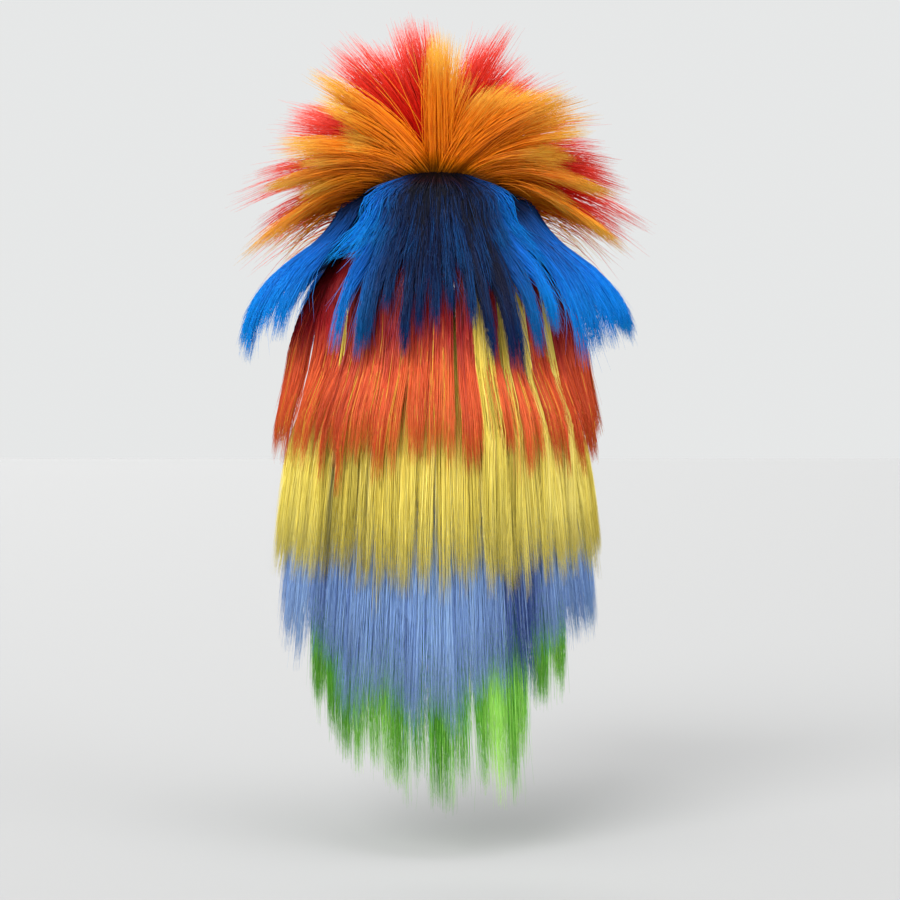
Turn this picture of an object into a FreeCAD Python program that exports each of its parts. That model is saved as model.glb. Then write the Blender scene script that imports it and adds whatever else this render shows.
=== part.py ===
"""A rainbow mullet costume wig, as a parametric FreeCAD document, in millimetres.

The wig is an open stretch cap with rows of machine-sewn fibre (wefts). Short spikes stand on
the crown, blue locks flare out round the head, and four long layers hang behind: red outside,
then yellow, periwinkle and green. +Z is up, the wearer faces -Y, and +X is the wearer's left.
The origin is the centre of the head at its widest level, just above the ears.

The head is two half ellipsoids that meet at Z = 0: a dome above and a longer, straighter form
below. Every cap piece is a slice of a shell round that form. A hair lock is a tapered plank
seated on its weft. It stands for a bundle of loose fibre. Each long lock is in two pieces: the
stretch that the cap holds, and the free stretch that lifts with its hair section.
"""

import FreeCAD
import Part
import Sketcher
import math
import os
import re

Vector = FreeCAD.Vector

# Driving sizes. Millimetres, apart from the angles in degrees and the plain shares.
SIZES = {
    # the head that the cap fits
    "head_half_width": 77,
    "head_half_length": 97,
    "dome_height": 97,
    "lower_depth": 130,
    # cap cloth
    "net_thickness": 1.0,
    "band_thickness": 1.6,
    "band_gap": 0.2,
    "seam_gap": 0.5,
    "strap_width": 12,
    "spine_width": 14,
    "strap_lap": 9,
    "side_strap_azimuth": 42,
    "patch_radius": 24,
    "patch_thickness": 0.8,
    # the cap's edge, seen from the side: Y backwards, Z up
    "hairline_height": 34,
    "temple_back": -66,
    "temple_height": 30,
    "tab_front": -50,
    "tab_back": -34,
    "tab_seat_height": 6,
    "ear_front": -22,
    "ear_back": 8,
    "ear_height": 20,
    "behind_ear": 20,
    "behind_ear_height": 4,
    "net_back": 14,
    "net_back_height": 33,
    "net_rear_height": 56,
    "nape_front": 44,
    "nape_front_height": -66,
    "nape_height": -76,
    "nape_band_top": -58,
    "front_band_width": 18,
    "binding_width": 13,
    "edge_reach": 112,
    # ear tabs
    "tab_bottom": -38,
    "tab_clearance": 0.6,
    "stay_width": 5,
    "stay_margin": 7,
    "stay_thickness": 0.7,
    # weft rows
    "weft_thickness": 1.2,
    "weft_lift": 0.1,
    "weft_height": 3.5,
    "top_row_drop": 45,
    "lowest_row_rise": 11,
    # nape adjusters: loops, elastic straps and hooks, on a circle that fits the nape
    "loop_thickness": 0.7,
    "loop_width": 1.6,
    "loop_low": -70,
    "loop_high": -63.5,
    "loop_pitch": 8,
    "loop_first": 14,
    "loop_count": 4,
    "strap_gap": 1.4,
    "elastic_thickness": 1.0,
    "elastic_low": -70,
    "elastic_high": -62,
    "elastic_start": 42.4,
    "elastic_end": 62,
    "anchor_start": 57,
    "hook_gap": 1.6,
    "hook_thickness": 1.2,
    "hook_low": -71,
    "hook_high": -60.4,
    "hook_bar_start": 38.5,
    "hook_bar_end": 42.2,
    "hook_tongue_start": 31,
    "hook_tongue_low": -69,
    "hook_tongue_high": -64.5,
    "hook_tip_end": 34,
    "hook_tip_low": -63,
    "hook_tip_rise": 0.7,
    # care label
    "label_half_width": 4.5,
    "label_low": -74,
    "label_high": -59,
    "label_thickness": 0.5,
    # rings of locks
    "ring_offset": 3,
    "ring_slack": 5,
    "lock_pitch": 10,
    "lock_side_gap": 0.5,
    "seat_gap": 0.35,
    "lock_top_rise": 4,
    "lock_tip_half_width": 1.5,
    "lift_gap": 0.6,
    # crown spikes
    "spike_root_radius": 4,
    "spike_belly_radius": 7.5,
    "spike_belly_height": 26,
    "spike_tip_radius": 1,
    "spike_length": 82,
    "spike_drop": 31,
    "spike_gap": 0.3,
    "spike_fan": 92,
    "spike_front_margin": 31,
    "spike_back_margin": 43,
    # sideburns on the ear tabs
    "sideburn_half_width": 5.5,
    "sideburn_top": -4,
    "sideburn_thickness": 5,
    "sideburn_length": 62,
    "sideburn_gap": 0.4,
}

# A lock's inner face passes through stations. Each has a drop below the seat, a reach outwards
# from the seat and the lock's thickness there. The seat is on a sewn row, counted from the top.
LAYERS = {
    "blue_back": {
        "row": 0,
        "seat": (0, 0, 1.2),
        "shoulder": (18, 15, 5),
        "belly": (52, 28, 6),
        "tip": (90, 36, 1.5),
    },
    "blue_wing": {
        "row": 0,
        "seat": (0, 0, 1.2),
        "shoulder": (18, 24, 6),
        "belly": (50, 56, 7),
        "tip": (78, 74, 1.5),
    },
    "fringe": {
        "row": 1,
        "seat": (0, 0, 1.2),
        "belly": (14, 13, 5),
        "tip": (44, 24, 1.5),
    },
    "red": {
        "row": 2,
        "seat": (0, 0, 1.2),
        "shoulder": (26, 7.5, 3.5),
        "exit": (75.2, 14.6, 4),
        "belly": (120, 34.1, 6),
        "tip": (148, 39.1, 1.2),
        "side_belly": (120, 34.1, 6),
        "side_tip": (146, 39.1, 1.2),
    },
    "yellow": {
        "row": 5,
        "seat": (0, 0, 1.2),
        "exit": (47, 4.4, 4),
        "belly": (100, 22.4, 6),
        "waist": (150, 28.4, 7),
        "tip": (195, 36.1, 1.2),
        "side_belly": (100, 22.4, 6),
        "side_waist": (150, 28.4, 7),
        "side_tip": (186, 36.1, 1.2),
    },
    "periwinkle": {
        "row": 8,
        "seat": (0, 0, 1.2),
        "exit": (24, 2.5, 3.5),
        "belly": (80, 18, 6),
        "waist": (185, 30, 7.5),
        "tip": (260, 38.5, 1.2),
        "side_belly": (80, 18, 6),
        "side_waist": (160, 27.5, 7.5),
        "side_tip": (205, 32.5, 1.2),
    },
    "green": {
        "row": 11,
        "seat": (0, 0, 1.2),
        "exit": (16, 2.5, 4),
        "belly": (54, 16.8, 5),
        "waist": (159, 28.8, 6),
        "tip": (284, 42.5, 1.2),
        "side_belly": (54, 16.8, 5),
        "side_waist": (140, 26.5, 6),
        "side_tip": (238, 37.5, 1.2),
    },
}
STATION_SIZES = ("drop", "reach", "thickness")
for layer, stations in LAYERS.items():
    for station, values in stations.items():
        if station != "row":
            for word, value in zip(STATION_SIZES, values):
                SIZES[f"{layer}_{station}_{word}"] = value

# The sewn rows, numbered from the top. Row 5 lies at the head's widest level, Z = 0.
WEFT_ROWS = {
    "blue": (0, 1),
    "red": (2, 3, 4),
    "yellow": (5, 6, 7),
    "periwinkle": (8, 9, 10),
    "green": (11, 12),
}
LEVEL_ROW = 5
LAST_ROW = 12
# Crown rows run ear to ear, from front to back: number of spikes and forward lean in degrees.
CROWN_ROWS = {
    "fringe_red_spikes": (5, 45),
    "front_orange_spikes": (7, 26),
    "top_red_spikes": (7, 12),
    "crown_red_spikes": (7, 4),
    "whorl_orange_spikes": (7, -4),
    "rear_orange_spikes": (7, -12),
}
for crown_row, (_, lean) in CROWN_ROWS.items():
    SIZES[f"{crown_row}_lean"] = lean
# Azimuths of the locks, in pitches from straight back, positive towards the wearer's left.
CENTRE_SECTION = range(-3, 4)
SIDE_SECTIONS = {
    "red": range(4, 9),
    "yellow": range(4, 9),
    "periwinkle": range(4, 8),
    "green": range(4, 7),
}
BLUE_BACK = range(-4, 5)
BLUE_WING = range(5, 15)
FRINGE = range(15, 22)

doc = FreeCAD.newDocument("costume_wig")
sheet = doc.addObject("Spreadsheet::Sheet", "sizes")
for row, (alias, number) in enumerate(SIZES.items(), 1):
    sheet.set(f"A{row}", str(number))
    sheet.setAlias(f"A{row}", alias)
doc.recompute()

nodes = []

LOCAL_SIDE = FreeCAD.Placement(Vector(), FreeCAD.Rotation(Vector(1, 0, 0), 90))
SIDE_VIEW = FreeCAD.Placement(
    Vector(), FreeCAD.Rotation(Vector(0, 1, 0), Vector(0, 0, 1), Vector(1, 0, 0), "ZXY")
)


# ---------------------------------------------------------------- small tools


def size(alias):
    """The number that a cell of the sheet holds."""
    return float(sheet.getPropertyByName(alias))


def worked_out(text):
    """The number that a formula on the sheet gives."""
    return float(sheet.evalExpression(formula(text)))


def formula(text):
    """The text with each alias of the sheet spelled out, as an expression needs it."""
    return re.sub(
        r"[a-z_]{3,}", lambda m: f"sizes.{m[0]}" if m[0] in SIZES else m[0], str(text)
    )


def bind(item, **formulas):
    """Binds an object's properties to formulas on the sheet."""
    for name, text in formulas.items():
        item.setExpression(name, formula(text))
    return item


def keep(label, item):
    """Marks an object as a sub-part: its label names its file."""
    item.Label = label
    nodes.append(item)
    return item


def polygon(name, placement, corners):
    """A sketch of straight lines through corners, each corner's two coordinates bound."""
    sketch = doc.addObject("Sketcher::SketchObject", name)
    sketch.Placement = placement
    count = len(corners)
    start = [
        Vector(math.cos(math.tau * k / count), math.sin(math.tau * k / count), 0)
        for k in range(count)
    ]
    for k in range(count):
        sketch.addGeometry(Part.LineSegment(start[k], start[(k + 1) % count]), False)
    for k in range(count):
        sketch.addConstraint(Sketcher.Constraint("Coincident", k, 2, (k + 1) % count, 1))
    for k, corner in enumerate(corners):
        for kind, at, text in zip(("DistanceX", "DistanceY"), start[k], corner):
            number = sketch.addConstraint(Sketcher.Constraint(kind, k, 1, at))
            sketch.renameConstraint(number, f"{kind}_{k}")
            sketch.setExpression(f"Constraints.{kind}_{k}", formula(text))
    return sketch


def prism(name, placement, corners, depth):
    """A polygon's solid, as deep as depth and centred on the sketch's plane."""
    solid = doc.addObject("Part::Extrusion", name)
    solid.Base = polygon(f"{name}_outline", placement, corners)
    solid.DirMode = "Normal"
    solid.Solid = True
    solid.Symmetric = True
    return bind(solid, LengthFwd=depth)


def block(name, low, high):
    """A box between two corners, each a tuple of three formulas."""
    box = doc.addObject("Part::Box", name)
    for k, side in enumerate(("Length", "Width", "Height")):
        box.setExpression(side, formula(f"({high[k]}) - ({low[k]})"))
        box.setExpression(f"Placement.Base.{'xyz'[k]}", formula(low[k]))
    return box


def cut(name, base, tool):
    item = doc.addObject("Part::Cut", name)
    item.Base = base
    item.Tool = tool
    return item


def common(name, base, tool):
    item = doc.addObject("Part::Common", name)
    item.Base = base
    item.Tool = tool
    return item


def joined(name, *shapes):
    item = doc.addObject("Part::MultiFuse", name)
    item.Shapes = list(shapes)
    return item


def group(name, members):
    item = doc.addObject("Part::Compound", name)
    item.Links = list(members)
    return item


def copy_at(name, master, placement):
    """A linked copy of a master piece, at its own place."""
    link = doc.addObject("App::Link", name)
    link.LinkedObject = master
    link.Placement = placement
    return link


# ---------------------------------------------------------------- the head's form and its shells

forms = {}
shells = {}


def head_form(offset):
    """The head as a solid, grown by offset: a dome on top of a longer lower half."""
    if offset not in forms:
        halves = []
        for half, height, angles in (
            ("dome", "dome_height", (0, 90)),
            ("base", "lower_depth", (-90, 0)),
        ):
            part = doc.addObject("Part::Ellipsoid", f"{half}_{len(forms)}")
            part.Angle1, part.Angle2 = angles
            bind(
                part,
                Radius1=f"{height} + {offset}",
                Radius2=f"head_half_width + {offset}",
                Radius3=f"head_half_length + {offset}",
            )
            halves.append(part)
        forms[offset] = joined(f"form_{len(forms)}", *halves)
    return forms[offset]


def shell(inner, thickness):
    """A layer of the cap, from inner to inner + thickness outside the head."""
    key = (inner, thickness)
    if key not in shells:
        outer = head_form(f"({inner}) + ({thickness})")
        shells[key] = cut(f"shell_{len(shells)}", outer, head_form(f"({inner})"))
    return shells[key]


RING_CENTRE = "(head_half_length - head_half_width - ring_offset)"
SPIKE_LOWEST = "(dome_height - spike_drop)"
NET = ("0", "net_thickness")
LINING = ("-band_thickness - band_gap", "band_thickness")
WEFT = ("net_thickness + weft_lift", "weft_thickness")
ACROSS = "2 * (head_half_width + 40)"


def side_region(name, corners):
    """Everything inside a side-view outline, right across the head."""
    return prism(name, SIDE_VIEW, corners, ACROSS)


def half(name, side):
    """The half space on the wearer's left (+1) or right (-1)."""
    low, high = ("0", "150") if side > 0 else ("-150", "0")
    return block(name, (low, "-200", "-200"), (high, "200", "200"))


SIDES = (("left", 1), ("right", -1))

# ---------------------------------------------------------------- cap cloth


def make_net():
    """The crown net: a dome of lace that ends above the sewn rows at the back."""
    region = side_region(
        "net_region",
        (
            ("-edge_reach", "hairline_height"),
            ("temple_back", "temple_height"),
            ("tab_front", "tab_seat_height + 2"),
            ("tab_back", "tab_seat_height"),
            ("ear_front", "ear_height"),
            ("ear_back", "ear_height"),
            ("net_back", "net_back_height"),
            ("edge_reach", "net_rear_height"),
            ("edge_reach", "dome_height + 20"),
            ("-edge_reach", "dome_height + 20"),
        ),
    )
    keep("crown_net", common("net", shell(*NET), region))


def make_front_band():
    """The satin band inside the front edge, from tab to tab."""
    region = side_region(
        "front_region",
        (
            ("-edge_reach", "hairline_height"),
            ("temple_back", "temple_height"),
            ("tab_front", "tab_seat_height + 2"),
            ("tab_back", "tab_seat_height"),
            ("tab_back", "tab_seat_height + front_band_width"),
            ("tab_front + 8", "tab_seat_height + front_band_width + 2"),
            ("temple_back + 6", "temple_height + front_band_width"),
            ("-edge_reach", "hairline_height + front_band_width"),
        ),
    )
    keep("front_band", common("front", shell(*LINING), region))


def make_side_bindings():
    """The bindings that edge the cap round each ear, down to the nape."""
    region = side_region(
        "binding_region",
        (
            ("tab_back + seam_gap", "tab_seat_height + 0.6"),
            ("ear_front", "ear_height"),
            ("ear_back", "ear_height"),
            ("behind_ear", "behind_ear_height"),
            ("(behind_ear + nape_front) / 2 - 2", "nape_front_height + 28"),
            ("nape_front - seam_gap", "nape_front_height"),
            ("nape_front + binding_width - 1", "nape_front_height + binding_width"),
            ("nape_front", "nape_front_height + 36"),
            ("behind_ear + binding_width", "behind_ear_height + 8"),
            ("net_back", "ear_height + binding_width"),
            ("ear_front - 5", "ear_height + binding_width"),
            ("tab_back + seam_gap", "tab_seat_height + front_band_width"),
        ),
    )
    for side, sign in SIDES:
        both = common(f"binding_{side}_ring", shell(*LINING), region)
        keep(f"side_binding_{side}", common(f"binding_{side}", both, half(f"half_{side}", sign)))


def make_nape_band():
    """The elastic band across the nape."""
    region = side_region(
        "nape_region",
        (
            ("nape_front + seam_gap", "nape_front_height"),
            ("edge_reach", "nape_height"),
            ("edge_reach", "nape_band_top"),
            ("nape_front + binding_width", "nape_front_height + binding_width - 0.6"),
        ),
    )
    keep("nape_band", common("nape", shell(*LINING), region))


def make_straps():
    """Three upright ribbons that carry the sewn rows behind the head."""
    region = side_region(
        "strap_region",
        (
            ("net_back", "net_back_height - seam_gap"),
            ("nape_front", "nape_band_top - strap_lap"),
            ("edge_reach", "nape_band_top - strap_lap - 2"),
            ("edge_reach", "net_rear_height - seam_gap"),
        ),
    )
    for label, width, azimuth in (
        ("spine_strap", "spine_width", "0"),
        ("back_strap_left", "strap_width", "side_strap_azimuth"),
        ("back_strap_right", "strap_width", "-side_strap_azimuth"),
    ):
        slab = block(f"{label}_slab", ("0", "0", "-120"), ("150", width, "120"))
        turn = f"90 - ({azimuth})"
        slab.setExpression("Placement.Rotation.Angle", formula(turn))
        slab.setExpression("Placement.Base.x", formula(f"{width} / 2 * sin({turn})"))
        slab.setExpression(
            "Placement.Base.y", formula(f"{RING_CENTRE} - {width} / 2 * cos({turn})")
        )
        net = common(f"{label}_ring", shell(*NET), region)
        keep(label, common(f"{label}_cloth", net, slab))


def make_patch():
    """The round patch inside the top of the net, where the innermost row ends."""
    column = doc.addObject("Part::Cylinder", "patch_column")
    bind(column, Radius="patch_radius", Height="dome_height + 20")
    column.setExpression("Placement.Base.y", formula(RING_CENTRE))
    cloth = shell("-patch_thickness - band_gap", "patch_thickness")
    keep("crown_patch", common("patch", cloth, column))


def make_label():
    """A blank care label on the inside of the nape band."""
    tag = block(
        "label_block",
        ("-label_half_width", "0", "label_low"),
        ("label_half_width", "150", "label_high"),
    )
    inner = "-band_thickness - 2 * band_gap - label_thickness"
    keep("care_label", common("label", shell(inner, "label_thickness"), tag))


# ---------------------------------------------------------------- weft rows


def row_height(number):
    """Height of a sewn row: evenly spaced down to the widest level, and from there to the nape."""
    if number <= LEVEL_ROW:
        return f"((dome_height - top_row_drop) * {(LEVEL_ROW - number) / LEVEL_ROW})"
    share = (number - LEVEL_ROW) / (LAST_ROW - LEVEL_ROW)
    return f"((nape_height + lowest_row_rise) * {share})"


def crown_row_place(number):
    """Y of a crown row: evenly spaced between the margins at the front and the back."""
    share = number / (len(CROWN_ROWS) - 1)
    front = "(spike_front_margin - head_half_length)"
    run = "(2 * head_half_length - spike_front_margin - spike_back_margin)"
    return f"({front} + {run} * {share})"


def make_wefts():
    """The sewn rows: one node a colour behind the head, and the rows over the crown."""
    behind_ears = side_region(
        "weft_region",
        (
            ("net_back", "ear_height + binding_width"),
            ("behind_ear + 6", "behind_ear_height + 6"),
            ("nape_front - 4", "nape_front_height + 26"),
            ("nape_front + 6", "nape_front_height - 2"),
            ("edge_reach", "nape_height + 4"),
            ("edge_reach", f"{SPIKE_LOWEST} - 6"),
            ("-edge_reach", f"{SPIKE_LOWEST} - 6"),
            ("-edge_reach", "hairline_height + 6"),
            ("temple_back", "temple_height + 6"),
            ("ear_front", "ear_height + binding_width"),
        ),
    )
    cloth = common("weft_cloth", shell(*WEFT), behind_ears)
    for colour, numbers in WEFT_ROWS.items():
        rows = [
            block(
                f"sewn_row_{number}",
                ("-150", "-150", f"{row_height(number)} - weft_height / 2"),
                ("150", "150", f"{row_height(number)} + weft_height / 2"),
            )
            for number in numbers
        ]
        keep(
            f"{colour}_wefts",
            common(f"{colour}_strips", cloth, group(f"{colour}_rows", rows)),
        )
    rows = [
        block(
            f"crown_row_{number}",
            ("-150", f"{crown_row_place(number)} - weft_height / 2", f"{SPIKE_LOWEST} - 4"),
            ("150", f"{crown_row_place(number)} + weft_height / 2", "150"),
        )
        for number in range(len(CROWN_ROWS))
    ]
    keep(
        "crown_wefts",
        common("crown_strips", shell(*WEFT), group("crown_rows", rows)),
    )


# ---------------------------------------------------------------- ear tabs


def make_ear_tabs():
    """The tabs in front of the ears, each with its stay and its sideburn hair."""
    top = "tab_seat_height - tab_clearance"
    middle = "(tab_front + tab_back) / 2"
    tab = (
        ("tab_front", top),
        ("tab_back - 1", top),
        ("tab_back - 0.5", "tab_seat_height - 14"),
        ("tab_back - 2.5", "tab_bottom + 9"),
        ("tab_back - 6", "tab_bottom"),
        ("tab_front + 5", "tab_bottom"),
        ("tab_front + 1", "tab_bottom + 9"),
        ("tab_front - 1", "tab_seat_height - 14"),
    )
    stay = (
        (f"{middle} - stay_width / 2", f"{top} - stay_margin"),
        (f"{middle} + stay_width / 2", f"{top} - stay_margin"),
        (f"{middle} + stay_width / 2", "tab_bottom + stay_margin"),
        (f"{middle} - stay_width / 2", "tab_bottom + stay_margin"),
    )
    tab_region = side_region("tab_region", tab)
    stay_region = side_region("stay_region", stay)
    for side, sign in SIDES:
        here = half(f"tab_half_{side}", sign)
        cloth = common(f"tab_{side}_pair", shell(*NET), tab_region)
        keep(f"ear_tab_{side}", common(f"tab_{side}", cloth, here))
        inner = "-stay_thickness - band_gap"
        strip = common(f"stay_{side}_pair", shell(inner, "stay_thickness"), stay_region)
        keep(f"ear_stay_{side}", common(f"stay_{side}", strip, here))
        keep(f"sideburn_{side}", sideburn(side, sign, (size("tab_front") + size("tab_back")) / 2))


def sideburn(side, sign, middle):
    """A tapered lock outside an ear tab, turned to lie along it. X points off the tab."""
    thick = "sideburn_thickness"
    half_wide = "sideburn_half_width"
    profile = prism(
        f"sideburn_{side}_profile",
        LOCAL_SIDE,
        (
            ("0", "0"),
            ("1.5", "0"),
            (thick, "-sideburn_length / 3"),
            ("1.5", "-sideburn_length"),
            ("0", "-sideburn_length"),
        ),
        "4 * sideburn_half_width",
    )
    outline = prism(
        f"sideburn_{side}_outline",
        SIDE_VIEW,
        (
            (f"1 - {half_wide}", "0"),
            (f"{half_wide} - 1", "0"),
            (half_wide, "-sideburn_length / 3"),
            ("lock_tip_half_width", "-sideburn_length"),
            ("-lock_tip_half_width", "-sideburn_length"),
            (f"-{half_wide}", "-sideburn_length / 3"),
        ),
        "4 * sideburn_thickness",
    )
    piece = common(f"sideburn_{side}_lock", profile, outline)
    outside = size("net_thickness")
    wide = size("head_half_width") + outside
    deep = size("head_half_length") + outside
    across = wide * math.sqrt(1 - (middle / deep) ** 2)
    out = Vector(sign * across / wide**2, middle / deep**2, 0).normalize()
    at = Vector(sign * across, middle, size("sideburn_top")) + out * size("sideburn_gap")
    turn = math.degrees(math.atan2(out.y, out.x))
    piece.Placement = FreeCAD.Placement(at, FreeCAD.Rotation(Vector(0, 0, 1), turn))
    return piece


# ---------------------------------------------------------------- nape adjusters


def nape_circle():
    """Centre Y of the circle that fits the lining where the hooks run. Its axis is upright."""
    height = (size("loop_low") + size("loop_high")) / 2
    inner = size("band_thickness") + size("band_gap")
    depth = size("lower_depth") - inner
    share = math.sqrt(1 - (height / depth) ** 2)
    wide = (size("head_half_width") - inner) * share
    deep = (size("head_half_length") - inner) * share
    return deep - wide**2 / deep


def sector(name, low, high, start, end):
    """A wedge from the nape circle's axis, between two azimuths and two heights."""
    wedge = doc.addObject("Part::Cylinder", name)
    bind(
        wedge,
        Radius="head_half_length",
        Height=f"({high}) - ({low})",
        Angle=f"({end}) - ({start})",
    )
    wedge.setExpression("Placement.Base.z", formula(low))
    wedge.setExpression("Placement.Rotation.Angle", formula(f"90 - ({end})"))
    turned = wedge.Placement
    turned.Base.y = nape_circle()
    wedge.Placement = turned
    wedge.setExpression("Placement.Base.z", formula(low))
    return wedge


def signed(sign, start, end):
    """A pair of azimuths on one side of the nape, lowest first."""
    return (start, end) if sign > 0 else (f"-({end})", f"-({start})")


def make_adjusters():
    """On each side: a row of loops, an elastic strap sewn at its outer end, and its hook."""
    loop_inner = "-band_thickness - 2 * band_gap - loop_thickness"
    strap_inner = "-band_thickness - band_gap - strap_gap - elastic_thickness"
    hook_inner = "-band_thickness - band_gap - hook_gap - hook_thickness"
    loops = shell(loop_inner, "loop_thickness")
    strap = shell(strap_inner, "elastic_thickness")
    anchor = shell(strap_inner, "elastic_thickness + strap_gap - band_gap")
    hook = shell(hook_inner, "hook_thickness")
    tip = shell(hook_inner, "hook_thickness + hook_tip_rise")
    for side, sign in SIDES:
        bars = []
        for number in range(int(size("loop_count"))):
            middle = f"loop_first + {number} * loop_pitch"
            edge = "loop_width"
            low, high = signed(sign, f"{middle} - {edge} / 2", f"{middle} + {edge} / 2")
            bars.append(sector(f"loop_{side}_{number}", "loop_low", "loop_high", low, high))
        bars = group(f"loop_{side}_bars", bars)
        keep(f"hook_loops_{side}", common(f"loops_{side}", loops, bars))

        span = signed(sign, "elastic_start", "elastic_end")
        run = sector(f"elastic_{side}_run", "elastic_low", "elastic_high", *span)
        span = signed(sign, "anchor_start", "elastic_end")
        end = sector(f"elastic_{side}_end", "elastic_low", "elastic_high", *span)
        keep(
            f"adjuster_strap_{side}",
            joined(
                f"elastic_{side}",
                common(f"elastic_{side}_band", strap, run),
                common(f"elastic_{side}_anchor", anchor, end),
            ),
        )

        span = signed(sign, "hook_bar_start", "hook_bar_end")
        bar = sector(f"hook_{side}_bar", "hook_low", "hook_high", *span)
        span = signed(sign, "hook_tongue_start", "hook_bar_start + 0.5")
        tongue = sector(f"hook_{side}_tongue", "hook_tongue_low", "hook_high", *span)
        slot = sector(f"hook_{side}_slot", "hook_tongue_high", "hook_tip_low", *span)
        span = signed(sign, "hook_tongue_start", "hook_tip_end")
        nib = sector(f"hook_{side}_nib", "hook_tip_low", "hook_high", *span)
        keep(
            f"adjuster_hook_{side}",
            joined(
                f"hook_{side}",
                common(f"hook_{side}_bar_piece", hook, bar),
                cut(
                    f"hook_{side}_tongue_piece",
                    common(f"hook_{side}_plate", hook, tongue),
                    slot,
                ),
                common(f"hook_{side}_tip_piece", tip, nib),
            ),
        )


# ---------------------------------------------------------------- rings of locks


def cap_reach(azimuth, height, offset):
    """Distance from the ring's centre to the cap at a height and azimuth, outside it by offset."""
    rise = size("dome_height") if height >= 0 else size("lower_depth")
    share = 1 - (height / (rise + offset)) ** 2
    wide = (size("head_half_width") + offset) ** 2 * share
    deep = (size("head_half_length") + offset) ** 2 * share
    across, back = math.sin(azimuth), math.cos(azimuth)
    centre = worked_out(RING_CENTRE)
    # across^2 t^2 / wide + (centre + back t)^2 / deep = 1
    square = across**2 / wide + back**2 / deep
    linear = centre * back / deep
    plain = centre**2 / deep - 1
    return (-linear + math.sqrt(linear**2 - square * plain)) / square


def seat(layer, azimuth):
    """The place of a lock: its X axis points outwards, and its origin is just off the weft.

    Beside the face the cap slants across the lock, so the lock moves out to clear its corner."""
    height = worked_out(row_height(LAYERS[layer]["row"]))
    offset = size("net_thickness") + size("weft_lift") + size("weft_thickness")
    reach = cap_reach(azimuth, height, offset)
    wide, deep = size("head_half_width") + offset, size("head_half_length") + offset
    across = reach * math.sin(azimuth) / wide**2
    back = (worked_out(RING_CENTRE) + reach * math.cos(azimuth)) / deep**2
    slant = azimuth - math.atan2(across, back)
    rise = size("dome_height") if height >= 0 else size("lower_depth")
    ring = (size("head_half_width") + size("net_thickness")) * math.sqrt(1 - (height / rise) ** 2)
    corner = (ring - size("ring_slack")) * math.tan(math.radians(size("lock_pitch") / 2))
    reach += size("seat_gap") + corner * abs(math.tan(slant))
    at = Vector(
        reach * math.sin(azimuth),
        worked_out(RING_CENTRE) + reach * math.cos(azimuth),
        height,
    )
    turn = FreeCAD.Rotation(Vector(0, 0, 1), 90 - math.degrees(azimuth))
    return FreeCAD.Placement(at, turn)


def half_width(layer, station):
    """Half of a lock's width where it just clears its neighbours in the ring."""
    row = LAYERS[layer]["row"]
    rise = "dome_height" if row <= LEVEL_ROW else "lower_depth"
    ring = f"(head_half_width + net_thickness) * sqrt(1 - {row_height(row)}^2 / {rise}^2)"
    reach = f"{layer}_{station}_reach"
    return f"({ring} - ring_slack + {reach}) * tan(lock_pitch / 2) - lock_side_gap / 2"


def lock(name, layer, stations, gap="0"):
    """A plank through its stations, cut from a side profile and a front outline.

    A gap lowers the top end, so that the plank clears the piece above it."""
    inner, outer, left, right = [], [], [], []
    for number, station in enumerate(stations):
        word = f"{layer}_{station}"
        top = number == 0
        down = f"-{word}_drop" + (f" - {gap}" if top else "")
        rise = " + lock_top_rise" if top and station == "seat" else ""
        inner.append((f"{word}_reach", down))
        outer.append((f"{word}_reach + {word}_thickness", down + rise))
        wide = half_width(layer, station)
        wide = "lock_tip_half_width" if station.endswith("tip") else wide
        left.append((f"-({wide})", down + rise))
        right.append((wide, down + rise))
    deep = f"2 * ({half_width(layer, stations[-1])} + 10)"
    profile = prism(f"{name}_profile", LOCAL_SIDE, inner + outer[::-1], deep)
    last = f"{layer}_{stations[-1]}"
    outline = prism(
        f"{name}_front", SIDE_VIEW, left + right[::-1], f"2 * ({last}_reach + {last}_thickness + 10)"
    )
    return common(name, profile, outline)


def ring(label, master, layer, steps):
    """Copies of a lock round the head, at whole steps of the pitch."""
    copies = []
    for number, step in enumerate(steps):
        azimuth = math.radians(step * size("lock_pitch"))
        place = seat(layer, azimuth)
        copies.append(copy_at(f"{label}_{number}", master, place))
    keep(label, group(f"{label}_ring", copies))


def mirrored(steps):
    return [-step for step in steps]


def make_blue():
    """The blue locks: hanging behind the head, and flaring out at the sides."""
    back = lock("blue_back_lock", "blue_back", ("seat", "shoulder", "belly", "tip"))
    wing = lock("blue_wing_lock", "blue_wing", ("seat", "shoulder", "belly", "tip"))
    ring("blue_back_locks", back, "blue_back", BLUE_BACK)
    ring("blue_wing_left", wing, "blue_wing", BLUE_WING)
    ring("blue_wing_right", wing, "blue_wing", mirrored(BLUE_WING))


def make_fringe():
    """The fringe over the forehead."""
    front = lock("fringe_lock", "fringe", ("seat", "belly", "tip"))
    ring("fringe_locks", front, "fringe", FRINGE)


def make_long_layers():
    """Each long colour: the roots that stay on the cap, and three free hair sections."""
    for colour, beside in SIDE_SECTIONS.items():
        has = LAYERS[colour]
        held = [s for s in ("seat", "shoulder", "exit") if s in has]
        free = [s for s in ("exit", "belly", "waist", "tip") if s in has]
        side = ["exit"] + [f"side_{s}" for s in free[1:]]
        root = lock(f"{colour}_root_lock", colour, held)
        centre = lock(f"{colour}_centre_lock", colour, free, "lift_gap")
        flank = lock(f"{colour}_side_lock", colour, side, "lift_gap")
        everywhere = [*mirrored(beside)[::-1], *CENTRE_SECTION, *beside]
        ring(f"{colour}_roots", root, colour, everywhere)
        ring(f"{colour}_centre", centre, colour, CENTRE_SECTION)
        ring(f"{colour}_left", flank, colour, beside)
        ring(f"{colour}_right", flank, colour, mirrored(beside))


# ---------------------------------------------------------------- crown spikes


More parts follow.
